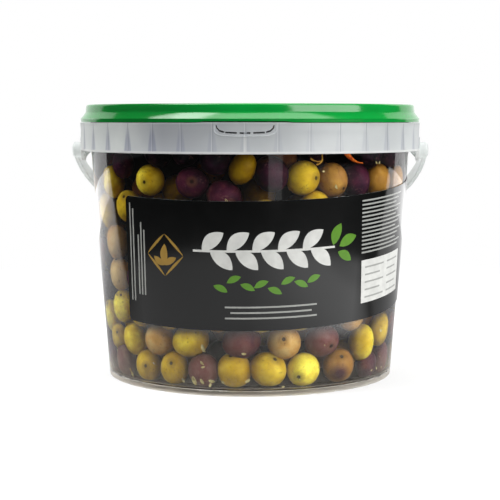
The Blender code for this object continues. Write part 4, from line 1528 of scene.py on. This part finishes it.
def skirt_colour(milky):
    """Mottling, with painted shade and highlight lines on each rib, a cool arch of painted shade beside
    it, painted dimming in the front's middle and painted highlights on the front rib and the bottom bead.
    """
    spot = milky.add("SeparateXYZ", Vector=milky.place())
    angle = milky.math("ARCTAN2", spot.outputs[0], spot.outputs[1])
    turns = milky.math("MULTIPLY", angle, RIB_TURN)
    cell = milky.math("PINGPONG", turns, 0.5)
    rise = milky.math("MULTIPLY_ADD", spot.outputs[2], 1 / SKIRT_TALL, -SKIRT_BOTTOM_Z / SKIRT_TALL)
    across = milky.math("MULTIPLY_ADD", spot.outputs[0], 1 / (2 * SKIRT_RADIUS), 0.5)
    side = milky.math("ABSOLUTE", milky.math("MULTIPLY", spot.outputs[0], 1 / SKIRT_RADIUS))
    front = milky.math("LESS_THAN", spot.outputs[1], 0.0)

    # Painted shade: a cool arch beside each rib, where the dark heap shows through the skirt.
    wisps = milky.noise(38.0, 1.0)
    bulge = milky.math("MULTIPLY_ADD", milky.math("MULTIPLY", cell, cell), 25.0,
                       milky.math("MULTIPLY", rise, 0.8))
    arch = milky.levels(milky.math("MULTIPLY_ADD", wisps, 0.35, bulge), [(0.68, 1), (1.02, 0)])
    strength = milky.levels(across, [
        (0.1, 0.6), (0.26, 1), (0.36, 0.45), (0.5, 0.2), (0.8, 0.16), (0.9, 0.4)])
    uneven = milky.math("MULTIPLY", strength, milky.math("MULTIPLY_ADD", wisps, 0.5, 0.55))
    arch_shade_amount = milky.math("MULTIPLY", arch, uneven)
    # Painted shade: the middle of the front is dimmed, where dark olives lie behind.
    painted_dim = milky.levels(across, [(0.16, 0), (0.28, 0.66), (0.47, 0.4), (0.64, 0.28), (0.95, 0.2)])
    painted_dimmed = milky.blend(milky.math("MULTIPLY", painted_dim, front), plain_milky(milky), tint(178, 181, 190))
    shaded = milky.blend(arch_shade_amount, painted_dimmed, tint(176, 180, 198))

    # Painted shade and highlight: a dark line just before each rib and a bright line just after it.
    past_rib = milky.math("FRACT", milky.math("ADD", turns, 0.5))
    shade_line = milky.levels(past_rib, [(0.462, 0), (0.472, 1), (0.486, 1), (0.494, 0)])
    lit = milky.levels(past_rib, [(0.494, 0), (0.502, 1), (0.524, 1), (0.536, 0)])
    shade_line_amount = milky.math("MULTIPLY", shade_line, milky.math("MULTIPLY_ADD", side, 0.6, 0.15))
    highlight_line_amount = milky.math("MULTIPLY", lit, milky.math("MULTIPLY_ADD", side, -0.3, 0.5))
    painted_shade_line = milky.blend(shade_line_amount, shaded, tint(140, 144, 152))
    lines = milky.blend(highlight_line_amount, painted_shade_line, tint(252, 253, 252))

    # Painted highlight: the thick front rib is paler below the tab.
    near_middle = milky.math("LESS_THAN", milky.math("ABSOLUTE", spot.outputs[0]), FRONT_RIB_THICK / 2)
    below_tab = milky.math("LESS_THAN", spot.outputs[2], TAB_LOW_Z - LINE_OFFSET)
    front_rib_highlight = milky.math("MULTIPLY", milky.math("MULTIPLY", near_middle, below_tab),
                           milky.math("MULTIPLY", front, 0.7))
    lines = milky.blend(front_rib_highlight, lines, tint(250, 251, 250))
    # Painted highlight: a pale line along the bead at the bottom.
    bead = milky.levels(rise, [(0.06, 1), (0.09, 0)])
    return milky.blend(bead, lines, tint(254, 255, 254))


milky = milky_finish("milky_plastic", skirt_colour, 0.12)
milky_bail = milky_finish("milky_bail", plain_milky, 0.25)
for finish, piece in ((milky, skirt), (milky_bail, handle)):
    piece.data.materials.clear()
    piece.data.materials.append(finish.material)
print(len(milky.nodes), "nodes in the skirt's plastic,", len(milky_bail.nodes), "in the handle's")

# %% [markdown]
# The lid is opaque green plastic with a sharp gloss. In the photograph its green is deeper towards the
# left, where the lid lies in shade. A second light could give that only together with everything else, so
# the shade is painted into the colour itself, darker there.

# %% Green plastic
green = Finish("green_plastic")
green_noise = green.noise(60.0)
green_colour = green.ramp(green_noise, [(0.3, tint(0, 140, 50)), (0.7, tint(0, 148, 56))])
green_side = green.math("MULTIPLY_ADD", green.add("SeparateXYZ", Vector=green.place()).outputs[0],
                        1 / (2 * LID_SKIRT_RADIUS), 0.5)
# Painted shade: the green is darker towards the left side.
green_painted_shade = green.levels(green_side, [(0.04, 0.2), (0.12, 1), (0.24, 1), (0.5, 0)])
green_colour = green.blend(green.math("MULTIPLY", green_painted_shade, 0.85), green_colour, tint(0, 108, 36))
green_bump = green.bump(green.noise(500.0, 3.0), 0.08)
green_shader = green.add("BsdfPrincipled", Base_Color=green_colour, Roughness=0.12, IOR=1.55,
                         Normal=green_bump)
green.finish(green_shader.outputs[0], lid)
print(len(green.nodes), "nodes in the green plastic")

# %% [markdown]
# The label's film is nearly black and glossy, and its cut edge is painted pale, as a highlight where it
# catches the light. The print is matter than the film, as ink is, and slightly mottled.

# %% Label film and its inks
film_finish = Finish("label_film")
film_noise = film_finish.noise(90.0)
film_rough = film_finish.math("MULTIPLY_ADD", film_noise, 0.05, 0.07)
film_colour = film_finish.ramp(film_noise, [(0.35, tint(5, 6, 6)), (0.65, tint(8, 9, 9))])
film_shader = film_finish.add("BsdfPrincipled", Base_Color=film_colour, Roughness=film_rough, IOR=1.5)
film_finish.finish(film_shader.outputs[0])
# Painted highlight: the cut edge of the film is coloured pale.
edge_highlight_finish = Finish("label_edge_highlight")
edge_highlight_colour = edge_highlight_finish.ramp(edge_highlight_finish.noise(60.0), [
    (0.4, tint(120, 122, 120)), (0.6, tint(196, 198, 196))])
edge_shader = edge_highlight_finish.add("BsdfPrincipled", Base_Color=edge_highlight_colour, Roughness=0.3)
edge_highlight_finish.finish(edge_shader.outputs[0])
label.data.materials[0] = film_finish.material
label.data.materials[1] = edge_highlight_finish.material

INK_COLOURS = {"white": (235, 236, 232), "green": (96, 150, 40), "gold": (176, 140, 62),
               "grey": (176, 178, 174)}
for ink, piece in inks.items():
    printed = Finish("ink_" + ink)
    shade_low = tint(*[c * 0.93 for c in INK_COLOURS[ink]])
    ink_colour = printed.ramp(printed.noise(200.0), [(0.3, shade_low), (0.7, tint(*INK_COLOURS[ink]))])
    ink_shader = printed.add("BsdfPrincipled", Base_Color=ink_colour, Roughness=0.22, IOR=1.5)
    printed.finish(ink_shader.outputs[0], piece)
print("inks:", ", ".join(inks))

# %% [markdown]
# One recipe serves all three kinds of olive. The colour runs from pale to dark with the number that
# each olive carries, shifted by soft patches and by a change from one side to the other. Fine spots, a
# brown ring and the dark pit lie over it. One tan olive has a purple cheek, as in the photograph.

# %% Skins of the olives
SKINS = {
    "yellow": [(0.0, tint(255, 244, 84)), (0.15, tint(228, 204, 56)), (0.35, tint(204, 172, 30)),
               (0.55, tint(184, 150, 8)), (0.75, tint(148, 118, 0)), (1.0, tint(118, 88, 0))],
    "tan": [(0.0, tint(206, 176, 112)), (0.2, tint(196, 152, 80)), (0.4, tint(168, 124, 48)),
            (0.6, tint(148, 106, 44)), (0.8, tint(164, 118, 58)), (1.0, tint(142, 92, 60))],
    "purple": [(0.0, tint(140, 112, 104)), (0.15, tint(118, 84, 80)), (0.35, tint(104, 58, 54)),
               (0.55, tint(66, 20, 42)), (0.8, tint(40, 12, 32)), (1.0, tint(8, 4, 10))],
}
BLUSH_PLACE = at_angle(37.8, wall_inner(8.0 * MM), 8.0 * MM).translation
BLUSH_SIZE = 10.0 * MM


def blushed(finish, colour):
    """The purple cheek that one of the tan olives has, at its place in the pail."""
    offset = finish.add("VectorMath", i0=finish.place(), i1=tuple(BLUSH_PLACE))
    offset.operation = "DISTANCE"
    uneven = finish.math("MULTIPLY_ADD", finish.noise(220.0), 2.2 * MM, offset.outputs["Value"])
    cheek = finish.levels(finish.math("MULTIPLY", uneven, 1 / BLUSH_SIZE), [(0.45, 1), (1.0, 0)])
    return finish.blend(cheek, colour, tint(64, 16, 36))


SPECKS = {"yellow": tint(104, 74, 20), "tan": tint(96, 60, 30), "purple": tint(112, 74, 72)}
for kind, stops in SKINS.items():
    finish = Finish("olive_" + kind)
    numbers = finish.add("VertexColor")
    numbers.layer_name = "skin"
    split = finish.add("SeparateColor", Color=numbers.outputs["Color"])
    shade_at, along, across = split.outputs[0], split.outputs[1], split.outputs[2]
    patches = finish.math("MULTIPLY_ADD", finish.noise(150.0, 4.0), 0.9, -0.45)
    fade = finish.math("MULTIPLY_ADD", across, 0.24, -0.12)
    position = finish.math("ADD", finish.math("ADD", shade_at, patches), fade)
    base = finish.ramp(position, stops)
    specks = finish.levels(finish.noise(950.0, 2.0), [(0.57, 0), (0.66, 1)])
    spotty = finish.levels(finish.noise(220.0), [(0.45, 0), (0.65, 1)])
    speck_amount = finish.math("MULTIPLY", finish.math("MULTIPLY", specks, spotty), 0.6)
    mottled = finish.blend(speck_amount, base, SPECKS[kind])
    ring = finish.levels(along, [(0.90, 0), (0.93, 1)])
    ringed = finish.blend(finish.math("MULTIPLY", ring, 0.35), mottled, tint(96, 66, 30))
    pit = finish.levels(along, [(0.938, 0), (0.955, 1)])
    coloured = finish.blend(finish.math("MULTIPLY", pit, 0.92), ringed, tint(26, 14, 10))
    if kind == "tan":
        coloured = blushed(finish, coloured)
    bump = finish.bump(finish.noise(700.0, 2.0), 0.1)
    shader = finish.add("BsdfPrincipled", Base_Color=coloured, Roughness=0.38, IOR=1.4,
                        Specular_IOR_Level=0.10, Normal=bump)
    finish.finish(shader.outputs[0], olive_pieces[kind])
print("skins:", ", ".join(SKINS))

# %% [markdown]
# Soaked herbs are soft and dull, so all three take one recipe: two close tints, a fine bump and little
# shine. Only the tints differ.

# %% Herbs
HERB_TINTS = {
    "herb_flakes": ((128, 116, 58), (214, 204, 150)),
    "herb_stalks": ((150, 104, 30), (196, 152, 60)),
    "pepper_strip": ((168, 58, 14), (226, 116, 34)),
}
for piece in (herbs, stalks, pepper):
    low_tint, high_tint = HERB_TINTS[piece.name]
    leafy = Finish(piece.name)
    leaf_colour = leafy.ramp(leafy.noise(420.0, 3.0), [(0.3, tint(*low_tint)), (0.7, tint(*high_tint))])
    leaf_bump = leafy.bump(leafy.noise(1500.0), 0.25)
    leaf_shader = leafy.add("BsdfPrincipled", Base_Color=leaf_colour, Roughness=0.5, IOR=1.4,
                            Specular_IOR_Level=0.2, Normal=leaf_bump)
    leafy.finish(leaf_shader.outputs[0], piece)
print("herbs:", ", ".join(HERB_TINTS))

# %% [markdown]
# What shows between the olives is the shade inside the heap, so the core is painted dull and dark as that
# shade, and a little lighter near the base, where the painted shade is less deep.

# %% Core of the heap
CORE_SHADE_TALL = 0.14

deep = Finish("heap_painted_shade")
height_share = deep.math("MULTIPLY", deep.add("SeparateXYZ", Vector=deep.place()).outputs[2],
                         1 / CORE_SHADE_TALL)
deep_shade = deep.math("MULTIPLY_ADD", deep.noise(90.0), 0.2, height_share)
# Painted shade: darker upwards, lighter near the base.
heap_shade_colour = deep.ramp(deep_shade, [(0.1, tint(66, 54, 44)), (0.5, tint(30, 22, 20)),
                                     (0.9, tint(10, 7, 8))])
deep_shader = deep.add("BsdfPrincipled", Base_Color=heap_shade_colour, Roughness=0.8)
deep.finish(deep_shader.outputs[0], core)

print(len(deep.nodes), "nodes in the core")

# %% [markdown]
# The floor is pale where it is looked at, and brightens to the background's white far out. What mirrors
# see of it counts as much, because the wall, the lid and the label all mirror it. A photographer would
# set cards round the pail. Here the floor itself has zones that only reflections see: darker with the
# distance, bright behind the pail, which gives the wall its pale veil, and a bright ring in front, which
# turns the lower part of the label from black to charcoal.

# %% Floor
ground = Finish("pale_floor")
ground_spot = ground.add("SeparateXYZ", Vector=ground.place())
distance = ground.add("VectorMath", i0=ground.place())
distance.operation = "LENGTH"
distance = distance.outputs["Value"]
seen_direct = ground.add("LightPath").outputs["Is Camera Ray"]
seen_glossy = ground.add("LightPath").outputs["Is Glossy Ray"]

ground_mirrored = ground.ramp(distance, [
    (0.09, tint(208, 202, 192)), (0.115, tint(166, 163, 158)), (0.20, tint(118, 117, 115)),
    (0.34, tint(76, 76, 76)), (0.6, tint(36, 36, 36)), (1.0, tint(10, 10, 10))])
ground_lit = ground.ramp(ground.noise(6.0), [(0.3, tint(250, 250, 250)), (0.7, tint(254, 254, 254))])
ground_colour = ground.blend(seen_direct, ground_mirrored, ground_lit)
ground_shader = ground.add("BsdfPrincipled", Base_Color=ground_colour, Roughness=0.9)
ground_glow = ground.add("Emission", Color=(1.0, 1.0, 1.0, 1.0), Strength=1.0)
rim_share = ground.levels(distance, [(0.2, 0.6), (0.6, 1)])
ground_seen = ground.mix(ground.math("MULTIPLY", seen_direct, rim_share), ground_shader.outputs[0],
                         ground_glow.outputs[0])

front_share = ground.levels(distance, [(0.175, 0), (0.205, 1), (0.40, 1), (0.43, 0)])
front_side = ground.levels(ground.math("MULTIPLY_ADD", ground_spot.outputs[1], -4.0, 0.0),
                           [(0.0, 0), (0.3, 1)])
front_level = ground.levels(ground.math("MULTIPLY_ADD", ground_spot.outputs[0], 1.43, 0.5), [
    (0.0, 0.35), (0.5, 0.44), (0.66, 0.68), (0.78, 0.92), (0.91, 1), (0.98, 0.75)])
front_amount = ground.math("MULTIPLY", ground.math("MULTIPLY", front_share, front_side), seen_glossy)
front_glow = ground.add("Emission", Color=front_level, Strength=1.95)
ground_front = ground.mix(front_amount, ground_seen, front_glow.outputs[0])

side_line = ground.math("MULTIPLY_ADD", ground.math("ABSOLUTE", ground_spot.outputs[0]), -0.66, 0.21)
behind_line = ground.math("ADD", ground_spot.outputs[1], side_line)
behind = ground.math("MINIMUM", behind_line, ground_spot.outputs[1])
behind_share = ground.levels(behind, [(0.0, 0), (0.03, 1)])
behind_fade = ground.levels(distance, [(0.3, 0.42), (1.1, 1)])
behind_amount = ground.math("MULTIPLY", behind_share, ground.math("SUBTRACT", 1.0, seen_direct))
behind_glow = ground.add("Emission", Color=behind_fade, Strength=1.35)
ground.finish(ground.mix(behind_amount, ground_front, behind_glow.outputs[0]), floor)
print(len(ground.nodes), "nodes in the floor")

# %% [markdown]
# Each piece is told which body it rides on, and the node of the rough model that it takes the place of is
# hidden. The brine and the herbs take no node's place. Then the box of the finished pieces is measured.

# %% Attach the pieces and measure their box
pieces = [
    (wall, "pail_body", "clear_plastic", "pail"),
    (skirt, "pail_body", "milky_plastic", "pail"),
    (lid, "pail_body", "green_plastic", "lid"),
    (label, "pail_body", "label_film", "label"),
    (handle, "handle", "milky_plastic", "handle"),
    (core, "pail_body", "olive_tan", "olives"),
    (brine, "pail_body", "brine", None),
]
for kind, piece in olive_pieces.items():
    pieces.append((piece, "pail_body", "olive_" + kind, "olives"))
for piece in (herbs, stalks, pepper):
    pieces.append((piece, "pail_body", "herbs", None))
for ink, piece in inks.items():
    pieces.append((piece, "pail_body", "label_film", "label"))
for piece, body, slot_name, node in pieces:
    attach(piece, body)
    if node:
        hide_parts(node)

low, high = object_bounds()
